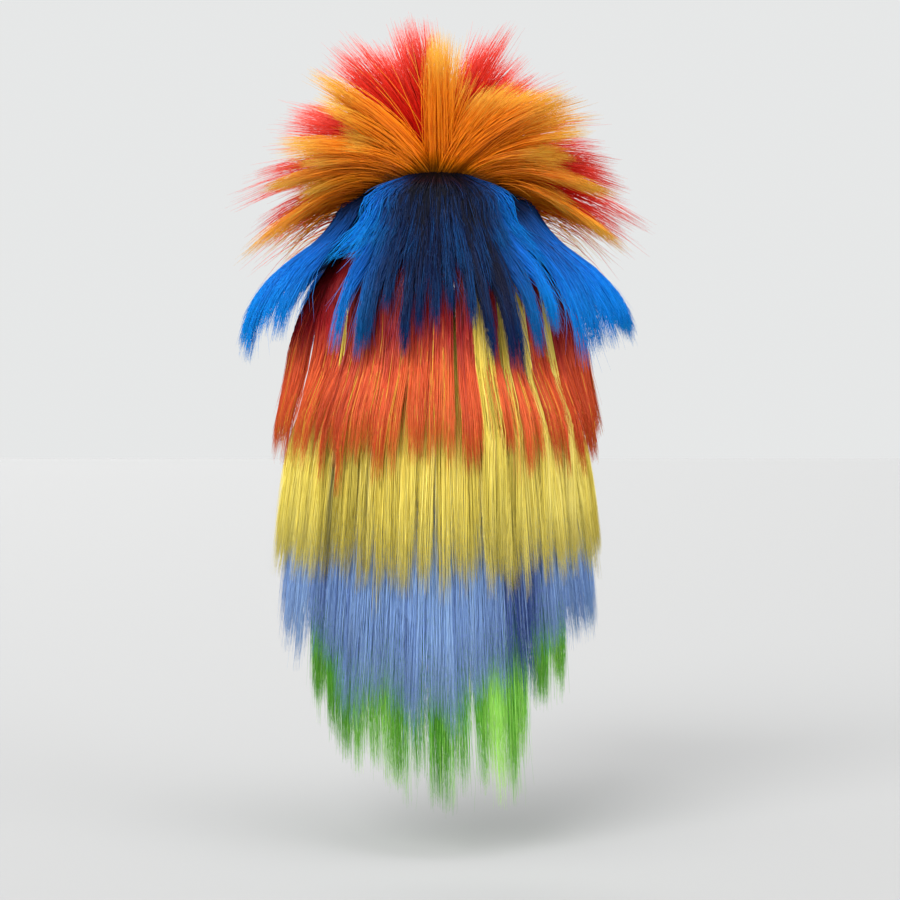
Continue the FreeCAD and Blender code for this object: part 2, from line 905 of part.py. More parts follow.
def make_spikes():
    """Spindle-shaped tufts in rows over the crown, each row opened like a fan."""
    outline = polygon(
        "spike_outline",
        LOCAL_SIDE,
        (
            ("0", "0"),
            ("spike_root_radius", "0"),
            ("spike_belly_radius", "spike_belly_height"),
            ("spike_tip_radius", "spike_length"),
            ("0", "spike_length"),
        ),
    )
    spike = doc.addObject("Part::Revolution", "spike")
    spike.Source = outline
    spike.Axis = Vector(0, 0, 1)
    spike.Solid = True
    offset = size("net_thickness") + size("weft_lift") + size("weft_thickness")
    wide = size("head_half_width") + offset
    long = size("head_half_length") + offset
    high = size("dome_height") + offset
    for row_number, (label, (count, _)) in enumerate(CROWN_ROWS.items()):
        place = worked_out(crown_row_place(row_number))
        lean = size(f"{label}_lean")
        share = math.sqrt(1 - (place / long) ** 2)
        most = math.acos(worked_out(SPIKE_LOWEST) / (high * share))
        copies = []
        for number in range(count):
            turn = 2 * number / (count - 1) - 1
            angle = turn * most
            at = Vector(
                wide * share * math.sin(angle), place, high * share * math.cos(angle)
            )
            normal = Vector(at.x / wide**2, at.y / long**2, at.z / high**2).normalize()
            fan = math.radians(turn * size("spike_fan"))
            tilt = math.radians(lean)
            way = Vector(
                math.sin(fan) * math.cos(tilt),
                -math.sin(tilt),
                math.cos(fan) * math.cos(tilt),
            )
            slant = math.sqrt(max(0.0, 1 - normal.dot(way) ** 2))
            lift = size("spike_gap") + size("spike_root_radius") * slant
            rotation = FreeCAD.Rotation(Vector(0, 0, 1), way)
            place_at = FreeCAD.Placement(at + normal * lift, rotation)
            copies.append(copy_at(f"{label}_{number}", spike, place_at))
        keep(label, group(f"{label}_row", copies))


# ---------------------------------------------------------------- build, check and write


def write_parts():
    """Stops on anything failed, then writes each sub-part to parts/LABEL.step."""
    doc.recompute()
    failed = [o.Name for o in doc.Objects if {"Invalid", "Error"} & set(o.State)]
    if failed:
        raise RuntimeError(f"these objects failed: {failed}")
    os.makedirs("parts", exist_ok=True)
    for item in nodes:
        shape = item.Shape
        if shape.isNull() or not shape.isValid() or not shape.Solids:
            raise RuntimeError(f"{item.Label} has no valid solid")
        shape.exportStep(f"parts/{item.Label}.step")
        print(f"{item.Label}: {len(shape.Solids)} solids, {shape.Volume / 1000:.2f} cm3")


make_net()
make_front_band()
make_side_bindings()
make_nape_band()
make_straps()
make_patch()
make_label()
make_wefts()
make_ear_tabs()
make_adjusters()
make_blue()
make_fringe()
make_long_layers()
make_spikes()
write_parts()
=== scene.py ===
import math

import bpy
import numpy as np
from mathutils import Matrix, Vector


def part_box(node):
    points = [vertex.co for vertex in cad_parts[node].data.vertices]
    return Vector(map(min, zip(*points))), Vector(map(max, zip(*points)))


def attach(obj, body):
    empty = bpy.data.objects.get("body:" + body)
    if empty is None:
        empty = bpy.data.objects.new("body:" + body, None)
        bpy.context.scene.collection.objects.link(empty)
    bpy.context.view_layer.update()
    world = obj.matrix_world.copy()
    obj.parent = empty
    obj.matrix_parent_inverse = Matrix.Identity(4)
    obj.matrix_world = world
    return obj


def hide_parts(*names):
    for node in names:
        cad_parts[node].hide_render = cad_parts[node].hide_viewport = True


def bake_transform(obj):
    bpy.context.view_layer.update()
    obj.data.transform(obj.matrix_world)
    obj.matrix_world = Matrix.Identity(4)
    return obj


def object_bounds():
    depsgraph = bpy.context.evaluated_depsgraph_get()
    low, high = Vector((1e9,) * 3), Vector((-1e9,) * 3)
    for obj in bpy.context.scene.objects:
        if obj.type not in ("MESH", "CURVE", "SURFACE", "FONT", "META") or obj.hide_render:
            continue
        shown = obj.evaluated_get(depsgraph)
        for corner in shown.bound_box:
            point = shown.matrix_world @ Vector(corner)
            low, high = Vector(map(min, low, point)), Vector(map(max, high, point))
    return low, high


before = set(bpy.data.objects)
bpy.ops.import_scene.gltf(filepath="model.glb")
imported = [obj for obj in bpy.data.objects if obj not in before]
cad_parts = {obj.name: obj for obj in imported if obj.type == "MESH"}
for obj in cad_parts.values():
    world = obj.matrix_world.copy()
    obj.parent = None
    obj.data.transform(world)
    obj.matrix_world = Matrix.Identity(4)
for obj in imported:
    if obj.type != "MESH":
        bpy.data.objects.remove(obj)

CAD_BOX = [list(corner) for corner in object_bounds()]
MM = 0.001
TURN = math.tau

# ---------------------------------------------------------------- the head and the camera, in mm

HEAD = (78.0, 98.0, 98.0, 131.0)  # outside of the cap cloth: half width, half length, up, down
RING_Y = 17.0  # the back of the head is round about this upright axis
ROOT_LIFT = 1.6  # fibre roots stand this far off the cloth, inside their sewn row

VIEW_X, VIEW_Z = -8.6, -106.0  # where the camera's axis passes the wig
VIEW_DISTANCE = 1300.0  # from the camera to the long hair
HAIR_PLANE = 120.0  # Y of the long hair
VIEW_WIDTH = 594.0  # how wide the view is at the long hair
SENSOR = 36.0
SOFT_ANGLE = math.radians(38)
FLOOR_GAP = 0.035  # the floor is this far below the longest hair, in metres

FIBRE_ROUGHNESS = 0.4
RINGS = 6  # rings of a hair strand


# ---------------------------------------------------------------- shader expressions


class Socket:
    """A node's output, or a number, that adds its Math nodes when it is used in an expression."""

    def __init__(self, shader, link):
        self.shader, self.link = shader, link

    def _math(self, operation, first, second):
        return self.shader.node("ShaderNodeMath", {"operation": operation}, [first, second])

    def __add__(self, other):
        return self._math("ADD", self, other)

    def __sub__(self, other):
        return self._math("SUBTRACT", self, other)

    def __mul__(self, other):
        return self._math("MULTIPLY", self, other)

    def sin(self):
        return self._math("SINE", self, 0.0)

    def clipped(self):
        return self.shader.node("ShaderNodeClamp", {}, [self, 0.0, 1.0])


class Finish:
    """A material under construction. Its constants sit on the shader's own sockets."""

    def __init__(self, name, **constants):
        self.material = bpy.data.materials.new(name)
        self.material.use_nodes = True
        self.nodes = self.material.node_tree.nodes
        self.links = self.material.node_tree.links
        self.shader = self.nodes["Principled BSDF"]
        for key, value in constants.items():
            self.shader.inputs[key.replace("_", " ")].default_value = value

    def node(self, kind, settings, values=(), output=0):
        """One node: its settings first, then the values or links of its sockets."""
        made = self.nodes.new(kind)
        for key, value in settings.items():
            if key == "stops":
                set_stops(made.color_ramp, value)
            else:
                setattr(made, key, value)
        pairs = values.items() if isinstance(values, dict) else enumerate(values)
        for key, value in pairs:
            if isinstance(value, Socket):
                self.links.new(value.link, made.inputs[key])
            elif value is not None:
                made.inputs[key].default_value = value
        return Socket(self, made.outputs[output])

    def feed(self, **channels):
        for key, value in channels.items():
            self.links.new(value.link, self.shader.inputs[key.replace("_", " ")])
        return self.material

    def position(self):
        return self.node("ShaderNodeTexCoord", {}, output="Object")

    def parts(self, vector):
        split = self.nodes.new("ShaderNodeSeparateXYZ")
        self.links.new(vector.link, split.inputs[0])
        return [Socket(self, out) for out in split.outputs]

    def noise(self, vector, scale, detail):
        values = {"Vector": vector, "Scale": scale, "Detail": detail}
        return self.node("ShaderNodeTexNoise", {}, values)

    def ramp(self, factor, *stops):
        return self.node("ShaderNodeValToRGB", {"stops": stops}, [factor])

    def mix(self, factor, first, second, blend="MIX"):
        settings = {"data_type": "RGBA", "blend_type": blend}
        values = {0: factor, 6: rgba(first), 7: rgba(second)}
        return self.node("ShaderNodeMix", settings, values, output=2)

    def bump(self, height, strength, distance):
        values = {"Strength": strength, "Distance": distance, "Height": height}
        return self.node("ShaderNodeBump", {}, values)


def rgba(colour):
    """A colour as a socket takes it."""
    return colour if isinstance(colour, Socket) else (*colour, 1.0)


def set_stops(ramp, stops):
    """Places a colour ramp's stops, given as (position, colour)."""
    while len(ramp.elements) < len(stops):
        ramp.elements.new(1.0)
    for element, (place, colour) in zip(ramp.elements, stops):
        element.position = place
        element.color = (*colour, 1.0)


def fibre_finish(name, along, across):
    """Glossy synthetic fibre. On its own map, U is the strand's shade and V runs root to tip.

    colour = the ramp along V, multiplied by the ramp across U."""
    finish = Finish(name, Roughness=FIBRE_ROUGHNESS, Specular_IOR_Level=0.3)
    shade, length, _ = finish.parts(finish.node("ShaderNodeUVMap", {"uv_map": "OFBake"}))
    # painted shade: the ramp along V darkens towards the root, where the roots lie in shadow
    lengthwise, shading = finish.ramp(length, *along), finish.ramp(shade, *across)
    return finish.feed(Base_Color=finish.mix(1.0, lengthwise, shading, "MULTIPLY"))


def painted_shade_blend_finish(name, dark, light):
    """Fibre whose strands range from a ramp of painted shade along V, at U of 0, to a ramp of
    the fibre's own colour at U of 1.

    colour = mix(ramp dark(V), ramp light(V), U)."""
    finish = Finish(name, Roughness=FIBRE_ROUGHNESS, Specular_IOR_Level=0.15)
    shade, length, _ = finish.parts(finish.node("ShaderNodeUVMap", {"uv_map": "OFBake"}))
    colour = finish.mix(shade, finish.ramp(length, *dark), finish.ramp(length, *light))
    return finish.feed(Base_Color=colour)


# ---------------------------------------------------------------- surfaces from arrays


def make_piece(name, points, faces, finish, maps=None):
    """A mesh object from points in mm and an array of faces with equal corner counts."""
    mesh = bpy.data.meshes.new(name)
    points = np.asarray(points, float).reshape(-1, 3) * MM
    count, corners = faces.shape
    mesh.vertices.add(len(points))
    mesh.vertices.foreach_set("co", points.astype(np.float32).ravel())
    mesh.loops.add(count * corners)
    mesh.loops.foreach_set("vertex_index", faces.astype(np.int32).ravel())
    mesh.polygons.add(count)
    starts = np.arange(0, count * corners, corners, dtype=np.int32)
    mesh.polygons.foreach_set("loop_start", starts)
    mesh.polygons.foreach_set("use_smooth", np.full(count, True))
    if maps is not None:
        layer = mesh.uv_layers.new(name="OFBake")
        layer.data.foreach_set("uv", maps.astype(np.float32).ravel())
    mesh.update(calc_edges=True)
    mesh.materials.append(finish)
    piece = bpy.data.objects.new(name, mesh)
    bpy.context.scene.collection.objects.link(piece)
    return piece


def unit(vectors):
    """Vectors of length 1 the same way."""
    return vectors / np.linalg.norm(vectors, axis=-1, keepdims=True).clip(1e-9)


def fibres(name, paths, girth, shade, finish, even=False):
    """Closed three-sided spindles, one along each path.

    corner(fibre, ring, k) = path + girth * taper(ring) * (cos(k/3 turn) side + sin(k/3 turn) up),
    where taper swells from the root, holds, and runs out to a point, or stays even on thread."""
    count, rings, _ = paths.shape
    along = np.linspace(0, 1, rings)
    taper = np.ones(rings) if even else np.interp(along, (0, 0.12, 0.62, 1), (0.6, 1, 0.85, 0.1))
    tangent = unit(np.gradient(paths, axis=1))
    mean = unit(paths[:, -1] - paths[:, 0])
    least = np.eye(3)[np.abs(mean).argmin(axis=1)]
    side = unit(np.cross(tangent, np.cross(mean, least)[:, None, :]))
    up = np.cross(tangent, side)
    turn = np.arange(3) * TURN / 3
    radius = (girth[:, None] * taper)[:, :, None, None]
    ring = np.cos(turn)[:, None] * side[:, :, None, :] + np.sin(turn)[:, None] * up[:, :, None, :]
    points = paths[:, :, None, :] + radius * ring

    base = (np.arange(count) * rings * 3)[:, None, None]
    level = (np.arange(rings - 1) * 3)[None, :, None]
    corner = np.arange(3)[None, None, :]
    after = (corner + 1) % 3
    walls = np.stack(
        [base + level + corner, base + level + after, base + level + 3 + after], axis=-1
    )
    rest = np.stack(
        [base + level + corner, base + level + 3 + after, base + level + 3 + corner], axis=-1
    )
    first = np.arange(count)[:, None] * rings * 3
    ends = np.concatenate([first + [0, 2, 1], first + (rings - 1) * 3 + [0, 1, 2]])
    faces = np.concatenate([walls.reshape(-1, 3), rest.reshape(-1, 3), ends])

    u = shade[:, None, None] + 0.006 * (np.arange(3) - 1)[None, None, :]
    u = np.clip(np.broadcast_to(u, (count, rings, 3)), 0.002, 0.998)
    v = np.broadcast_to(0.01 + 0.98 * along[None, :, None], (count, rings, 3))
    flat = np.stack([u.ravel(), v.ravel()], axis=-1)
    maps = flat[faces]
    maps[-2 * count :, 1, 1] += np.where(np.arange(2 * count) < count, 0.008, -0.008)
    return make_piece(name, points, faces, finish, maps=maps)


def eased(t):
    """0 to 1 with a level start and end."""
    return t * t * (3 - 2 * t)


def smooth_through(t, places, values):
    """A smooth curve through stations: cubic pieces with the mean slope at each station."""
    places, values = np.asarray(places, float), np.asarray(values, float)
    slopes = np.gradient(values, places)
    k = np.clip(np.searchsorted(places, t, side="right") - 1, 0, len(places) - 2)
    step = places[k + 1] - places[k]
    s = np.clip((t - places[k]) / step, 0, 1)
    return (
        (1 + 2 * s) * (1 - s) ** 2 * values[k]
        + s * (1 - s) ** 2 * step * slopes[k]
        + s * s * (3 - 2 * s) * values[k + 1]
        + s * s * (s - 1) * step * slopes[k + 1]
    )


def cap_reach(azimuth, height, lift=0.0, axis_y=RING_Y):
    """Distance from an upright axis out to the cap, at an azimuth in radians and a height in mm.

    It solves (r sin a / W)^2 + ((c + r cos a) / L)^2 = 1 - (z / H)^2 for r."""
    width, length, rise, fall = (v + lift for v in HEAD)
    share = 1 - (height / np.where(height >= 0, rise, fall)) ** 2
    wide, deep = width**2 * share, length**2 * share
    square = np.sin(azimuth) ** 2 / wide + np.cos(azimuth) ** 2 / deep
    linear = axis_y * np.cos(azimuth) / deep
    plain = axis_y**2 / deep - 1
    return (-linear + np.sqrt((linear**2 - square * plain).clip(0))) / square


def ring_points(azimuth, reach, height, axis_y=RING_Y):
    """Points from azimuth (0 is straight back, positive to the wearer's left), reach and height."""
    return np.stack([reach * np.sin(azimuth), axis_y + reach * np.cos(azimuth), height], axis=-1)


# ---------------------------------------------------------------- hanging hair


def bent(value, table):
    """A value read off a table of (place, value) pairs, straight between its places."""
    places, values = zip(*table)
    return np.interp(value, places, values)


def bump_at(value, centre, width):
    """A smooth hill, 1 at the centre and near 0 past twice the width."""
    return np.exp(-(((value - centre) / width) ** 2))


def lock_row(rng, azimuths, width, tips, tip_spread, slant=0.0):
    """Locks at given azimuths in degrees. Each has a half width, a tip height and a slant."""
    azimuths = np.asarray(azimuths, float)
    number = len(azimuths)
    slant = bent(azimuths, slant) if isinstance(slant, tuple) else np.full(number, slant)
    return {
        "azimuth": np.radians(azimuths),
        "width": np.radians(width) * rng.uniform(0.85, 1.15, number),
        "tip": bent(azimuths, tips) + rng.normal(0, tip_spread, number),
        "drift": np.radians(slant + rng.normal(0, 1.0, number)),
        "lift": rng.uniform(0, LOCK_LIFT, number),
        "tone": rng.normal(0, 1, number),
    }


def even_locks(rng, low, high, pitch, tips, tip_spread, slant=0.0):
    """Locks at an uneven pitch between two azimuths in degrees, touching side by side."""
    number = max(int((high - low) / pitch), 1)
    step = (high - low) / number
    azimuths = low + step * (np.arange(number) + 0.5) + rng.normal(0, 0.16, number) * step
    return lock_row(rng, azimuths, step * 0.62, tips, tip_spread, slant)


LOCK_LIFT = 2.0  # locks end up to this far outside their neighbours, in mm
WISPS = 5  # finer wisps that a lock divides into
# A style says how a layer's fibres lie. In mm: point, how far a lock's edges stop above its
# middle; ragged, its uneven ends; wisp_drop, the same for wisps; fly, how far tips stand off;
# leave, the drop over which fibres leave the cap; seat, the height that the profile starts from.
# In degrees: stray and bow. As shares: gather, a lock's narrowing to its tip, and early, how soon;
# fine, a wisp's narrowing; pinch, how close to the middle the roots lie; loose, stray fibres.


def hang(rng, count, locks, reaches, rows, style):
    """Fibres from sewn rows that run out along a profile and hang to their lock's tip.

    azimuth(s) = lock's centre + place across it, narrowing to fine wisps and to the lock's
    point, + slant and strays; reach(s) = cap at the root, then the layer's inner face + depth."""
    weight = locks["width"]
    which = rng.choice(len(weight), count, p=weight / weight.sum())
    across = rng.uniform(-1, 1, count)
    wisp_number = np.floor((across + 1) / 2 * WISPS).clip(0, WISPS - 1).astype(int)
    wisp = (wisp_number + 0.5) / WISPS * 2 - 1 + rng.normal(0, 0.05, count)
    wisp_drop = rng.normal(0, style["wisp_drop"], (len(weight), WISPS))[which, wisp_number]
    wisp_tone = rng.normal(0, 1, (len(weight), WISPS))[which, wisp_number]
    centre, width = locks["azimuth"][which], locks["width"][which]

    heights, shares = rows
    root_z = rng.choice(heights, count, p=shares) + rng.uniform(-1.5, 1.5, count)
    ragged = rng.exponential(style["ragged"], count) - style["ragged"] * 0.6
    tip_z = locks["tip"][which] + style["point"] * np.abs(across) ** 1.5 + wisp_drop + ragged
    tip_z = np.minimum(tip_z, root_z - 18)
    s = np.linspace(0, 1, RINGS)[None, :]
    z = root_z[:, None] + (tip_z - root_z)[:, None] * s

    late = eased(s)
    place = across[:, None] + (wisp - across)[:, None] * late * style["fine"]
    place = place * (1 - late ** style.get("early", 1.0) * style["gather"])
    pinch = 1 - (1 - style.get("pinch", 1.0)) * (1 - eased((s / 0.7).clip(0, 1)))
    azimuth = centre[:, None] * pinch + width[:, None] * place
    azimuth = azimuth + locks["drift"][which][:, None] * s**1.6
    loose = 1 + 3 * (rng.random(count) < style["loose"])
    azimuth = azimuth + np.radians(rng.normal(0, style["stray"], count) * loose)[:, None] * s**2
    bow = np.radians(rng.normal(0, style["bow"], count))[:, None]
    azimuth = azimuth + bow * np.sin(math.pi * s)

    hung_from = float(style.get("seat", heights[0]))
    seat = cap_reach(centre, np.full(count, hung_from), ROOT_LIFT)[:, None]
    drop = (hung_from - z).clip(0)
    depth = rng.beta(1.3, 1.3, count)[:, None]
    body = seat + reaches(drop, depth, np.degrees(azimuth))
    leave = eased(((root_z[:, None] - z) / style.get("leave", 24)).clip(0, 1))
    close = cap_reach(azimuth, z, ROOT_LIFT)
    reach = close * (1 - leave) + body * leave
    reach = np.maximum(reach, cap_reach(azimuth, z, 0.7))
    off = locks["lift"][which] + np.abs(rng.normal(0, style["fly"], count))
    reach = reach + off[:, None] * s**2
    tone = 0.55 * locks["tone"][which] + 0.6 * wisp_tone + 0.9 * rng.normal(0, 1, count)
    return ring_points(azimuth, reach, z), np.degrees(azimuth[:, -2]), tone


def layer_reach(profile, flare=0.0):
    """Reach of a layer from its drop and a place through its thickness, 0 inside, 1 outside.

    A flare pushes it further out at the sides: flare * eased(side) * hill(drop, 66, 36)."""
    drops, inner, thick = profile

    def reach(drop, depth, azimuth):
        side = eased(((np.abs(azimuth) - 44) / 34).clip(0, 1))
        body = smooth_through(drop, drops, inner) + depth * smooth_through(drop, drops, thick)
        return body + flare * side * bump_at(drop, 66, 36)

    return reach


# The long hair's sections: a body's name, and its azimuths in degrees.
SECTIONS = {
    "centre": ("tail_centre", (-35, 35)),
    "left": ("tail_left", (35, 86)),
    "right": ("tail_right", (-86, -35)),
}

# Sewn rows of each colour: heights, and the share of the fibres that each holds.
LONG_ROWS = {
    "red": ((31.2, 20.8, 10.4), (0.7, 0.2, 0.1)),
    "yellow": ((0.0, -9.3, -18.6), (0.6, 0.25, 0.15)),
    "periwinkle": ((-27.9, -37.1, -46.4), (0.6, 0.25, 0.15)),
    "green": ((-55.7, -65.0), (0.7, 0.3)),
}
# Each layer's drops, how far out its inner face is there, and its thickness.
LONG_PROFILES = {
    "red": ((0, 26, 75, 120, 148), (1, 9.5, 15.5, 35, 40), (1, 3, 3.5, 5, 4)),
    "yellow": ((0, 47, 100, 150, 195), (1, 5, 22.5, 28.5, 35), (1, 3.5, 5, 6, 4)),
    "periwinkle": ((0, 24, 80, 185, 262), (1, 3, 18.5, 30, 37), (1, 3, 5, 6.5, 4)),
    "green": ((0, 16, 54, 159, 284), (1, 3, 17, 29, 41), (1, 3.5, 4.5, 5, 3)),
}
GAP_PROFILE = ((0, 26, 75, 120, 150, 226), (1, 9.5, 15.5, 33, 35, 38), (1, 3, 3.5, 5, 5, 4))
LONG_FIBRES = {"red": 6900, "yellow": 6100, "periwinkle": 6300, "green": 4900}
RED_FLARE = 15.0
GAP_FILL = 75  # yellow fibres to a degree of a gap's half width
STREAK_SHARE, STREAK_SHADE = 0.05, 0.96  # a few strands are much lighter
LONG_REACH = {"red": 86, "yellow": 86, "periwinkle": 76, "green": 66}
LONG_STYLES = {
    "red": dict(
        point=10, ragged=9, wisp_drop=8, gather=0.3, fine=0.6, stray=0.7, loose=0.05, bow=0.4, fly=1.0
    ),
    "yellow": dict(
        point=3, ragged=11, wisp_drop=7, gather=0.08, fine=0.75, stray=0.7, loose=0.05, bow=0.4, fly=0.9
    ),
    "periwinkle": dict(
        point=5, ragged=15, wisp_drop=8, gather=0.1, fine=0.45, stray=1.3, loose=0.08, bow=0.8, fly=1.4
    ),
    "green": dict(
        point=10, ragged=11, wisp_drop=6, gather=0.36, fine=0.4, stray=0.9, loose=0.05, bow=0.7, fly=0.9
    ),
}
# Gaps between the red locks, from one azimuth in degrees to another. Yellow shows there.
RED_GAPS = ((-22.5, -15.0), (-30.5, -26.0), (-41.5, -37.5), (-56.5, -53.0))
# Heights of the tips by azimuth in degrees.
LONG_TIPS = {
    "red": ((-85, -100), (-60, -108), (-35, -114), (-12, -118), (-4, -108), (30, -112), (85, -98)),
    "yellow": ((-86, -172), (-50, -180), (0, -190), (30, -186), (86, -172)),
    "periwinkle": (
        (-76, -220), (-50, -226), (-36, -238), (-25, -270), (-18, -248), (-8, -264),
        (0, -286), (20, -266), (36, -250), (50, -232), (76, -220),
    ),
    "green": (
        (-60, -256), (-42, -268), (-35, -300), (-26, -332), (-21, -314), (-16, -338), (-9, -320),
        (-1, -340), (8, -314), (18, -332), (27, -312), (37, -302), (47, -292), (60, -270),
    ),
}


def outside(azimuth, gaps):
    """True where an azimuth is in none of the gaps."""
    clear = np.ones(len(azimuth), bool)
    for low, high in gaps:
        clear &= (azimuth < low) | (azimuth > high)
    return clear


def long_shade(colour, azimuth, tone):
    """The shade of each strand, 0 to 1, from its azimuth in degrees and its own tone."""
    if colour == "red":
        # painted shade: long red strands darken away from the middle towards the sides
        return 0.52 + 0.12 * tone - 0.22 * (1 - bump_at(azimuth, 4, 48))
    if colour == "yellow":
        # painted shade: narrow dark lines where the gaps between the yellow locks lie in shadow
        dark = 0.42 * bump_at(azimuth, 39.5, 1.3) + 0.3 * bump_at(azimuth, 24, 0.9)
        dark += 0.3 * bump_at(azimuth, -20, 0.7) + 0.36 * bump_at(azimuth, -26, 0.9)
        light = 0.2 * bump_at(azimuth, -58, 16) - 0.14 * bump_at(azimuth, 34, 13)
        return 0.60 + 0.11 * tone - dark + light
    if colour == "periwinkle":
        dark = 0.62 * bump_at(azimuth, -31, 11) + 0.12 * bump_at(azimuth, 42, 16)
        return 0.60 + 0.14 * tone - dark
    return 0.40 + 0.12 * tone + 0.5 * bump_at(azimuth, -19, 5.5) + 0.2 * bump_at(azimuth, -31, 3)


def hang_in_gaps(rng, low, high, style):
    """Yellow fibres that lie as far out as the red ones, in the gaps between the red locks."""
    gaps = [gap for gap in RED_GAPS if low < sum(gap) / 2 < high] or [(low + 8, low + 9)]
    middles = [sum(gap) / 2 for gap in gaps]
    width = np.array([(end - start) / 2 for start, end in gaps])
    locks = lock_row(rng, middles, width, LONG_TIPS["yellow"], 2)
    locks["width"] = np.radians(width)
    reaches = layer_reach(GAP_PROFILE, RED_FLARE)
    return hang(rng, int(GAP_FILL * width.sum()), locks, reaches, LONG_ROWS["red"], style)


# Locks of each colour: pitch in degrees, spread of their tips in mm, and slant in degrees.
LONG_LOCKS = {
    "red": (4.4, 3.5, 0.0),
    "yellow": (3.4, 3.5, 0.0),
    "periwinkle": (4.2, 5, 0.0),
    "green": (5.6, 4, ((-60, 9), (-36, 6), (-20, -1), (0, -2), (20, -6), (60, -11))),
}


def joined(*sets):
    """Sets of fibres, each (paths, azimuth, tone), as one."""
    return [np.concatenate(part) for part in zip(*sets)]


def make_long_hair(finishes):
    """Four hanging colours in three sections."""
    for number, colour in enumerate(LONG_ROWS):
        limit = LONG_REACH[colour]
        reaches = layer_reach(LONG_PROFILES[colour], RED_FLARE if colour == "red" else 0)
        style = LONG_STYLES[colour]
        for section, (body, (low, high)) in SECTIONS.items():
            rng = np.random.default_rng(100 + 10 * number + len(section))
            low, high = max(low, -limit), min(high, limit)
            pitch, spread, slant = LONG_LOCKS[colour]
            locks = even_locks(rng, low, high, pitch, LONG_TIPS[colour], spread, slant)
            count = int(LONG_FIBRES[colour] * (high - low) / (2 * limit))
            paths, azimuth, tone = hang(rng, count, locks, reaches, LONG_ROWS[colour], style)
            if colour == "green":
                short = dict(style, gather=0.15, point=4, ragged=10, fine=0.3)
                under = dict(locks, tip=locks["tip"] * 0.45 - 150)
                more = hang(rng, count // 2, under, reaches, LONG_ROWS[colour], short)
                paths, azimuth, tone = joined((paths, azimuth, tone), more)
            if colour == "yellow":
                more = hang_in_gaps(rng, low, high, style)
                paths, azimuth, tone = joined((paths, azimuth, tone), more)
            if colour == "red":
                keep = outside(azimuth, RED_GAPS) | (rng.random(len(azimuth)) < 0.05)
                paths, azimuth, tone = paths[keep], azimuth[keep], tone[keep]
            shade = long_shade(colour, azimuth, tone).clip(0.03, 0.9)
            shade[rng.random(len(shade)) < STREAK_SHARE] = STREAK_SHADE
            girth = 0.26 * rng.uniform(0.7, 1.2, len(shade))
            slot = "long_red_fibre" if colour == "red" else f"{colour}_fibre"
            piece = fibres(f"{colour}_hair_{section}", paths, girth, shade, finishes[slot])
            nodes = [f"{colour}_{section}"]
            if section == "centre":
                nodes.append(f"{colour}_roots")
            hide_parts(*nodes)
            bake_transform(piece)


# ---------------------------------------------------------------- blue layer

# The blue layer's profiles behind the head, with a thickness, and at the sides.
BLUE_BACK = ((0, 26, 50, 80, 118), (1, 14, 24, 33, 42), (1, 4, 5, 6, 5))
BLUE_WING = ((0, 18, 36, 60, 90, 118), (4, 28, 48, 63, 70, 72))
BLUE_SEAT = 52
VEIL_TIPS = ((-50, 34), (-25, 30), (-9, 10), (0, 2), (9, 12), (25, 30), (50, 34))
BLUE_TIPS = (
    (-146, -12), (-110, -16), (-82, -18), (-68, -34), (-56, -42), (-45, -34), (-36, -48), (-27, -46),
    (-19, -42), (-10, -18), (0, -26), (12, -42), (22, -22), (36, -36), (52, -36), (68, -34), (76, -26),
    (95, -12), (146, -12),
)
LONG_BLUE = dict(
    point=14, ragged=6, wisp_drop=4, gather=0.9, fine=0.3, stray=1.0, loose=0.06, bow=0.8, fly=1.6,
    seat=BLUE_SEAT, early=0.7,
)
SHORT_BLUE = dict(LONG_BLUE, point=8, ragged=12, wisp_drop=9, gather=0.6, early=1.0, stray=1.8, fly=3.0)
WING_BLUE = dict(LONG_BLUE, point=12, ragged=7, gather=0.62, early=1.0, stray=1.3, leave=16)
BLUE_BACK_ROWS = ((88, 80, 70, 60, 52, 42), (0.2, 0.2, 0.2, 0.15, 0.15, 0.1))
BLUE_WING_ROWS = ((79, 70, 62, 52, 42), (0.2, 0.25, 0.2, 0.2, 0.15))


def blue_reach(drop, depth, azimuth):
    """The blue layer flares more towards the sides: back and wing profiles, mixed by azimuth."""
    share = eased(((np.abs(azimuth) - 30) / 38).clip(0, 1))
    drops, back, thick = BLUE_BACK
    inner = smooth_through(drop, drops, back) * (1 - share)
    inner = inner + smooth_through(drop, *BLUE_WING) * share
    return inner + depth * smooth_through(drop, drops, thick)


def blue_piece(name, node, sets, finish, rng):
    """One blue piece from its sets of fibres. Towards the middle they take painted shade, near black
    to navy; at the sides they keep their own azure.
    """
    paths, azimuth, tone = joined(*sets)
    # painted shade: strands near the middle lean to the dark ramp, the sides to their own azure
    bright = eased(((np.abs(azimuth + 4) - 22) / 26).clip(0, 1))
    shade = (0.05 + 0.77 * bright + 0.08 * tone).clip(0.02, 0.97)
    girth = 0.27 * rng.uniform(0.7, 1.15, len(shade))
    piece = fibres(name, paths, girth, shade, finish)
    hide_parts(node)
    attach(piece, "cap")


def make_blue_hair(finishes):
    """Blue behind the head in long pointed locks over a short veil, and a wing on each side."""
    finish = finishes["blue_fibre"]
    rng = np.random.default_rng(31)
    spaced = even_locks(rng, -48, 41, 6.2, BLUE_TIPS, 6)
    spaced["width"] = spaced["width"] * rng.uniform(0.45, 0.95, len(spaced["width"]))
    veil = even_locks(rng, -50, 50, 4.6, VEIL_TIPS, 8)
    long = hang(rng, 2600, spaced, blue_reach, BLUE_BACK_ROWS, dict(LONG_BLUE, pinch=0.72))
    short = hang(rng, 2000, veil, blue_reach, BLUE_BACK_ROWS, dict(SHORT_BLUE, pinch=0.72))
    blue_piece("blue_back_hair", "blue_back_locks", (long, short), finish, rng)
    for side, low, high in (("left", 54, 146), ("right", -146, -49)):
        locks = even_locks(rng, low, high, 5.2, BLUE_TIPS, 7)
        wing = hang(rng, 3000, locks, blue_reach, BLUE_WING_ROWS, WING_BLUE)
        blue_piece(f"blue_wing_hair_{side}", f"blue_wing_{side}", (wing,), finish, rng)


# ---------------------------------------------------------------- crown


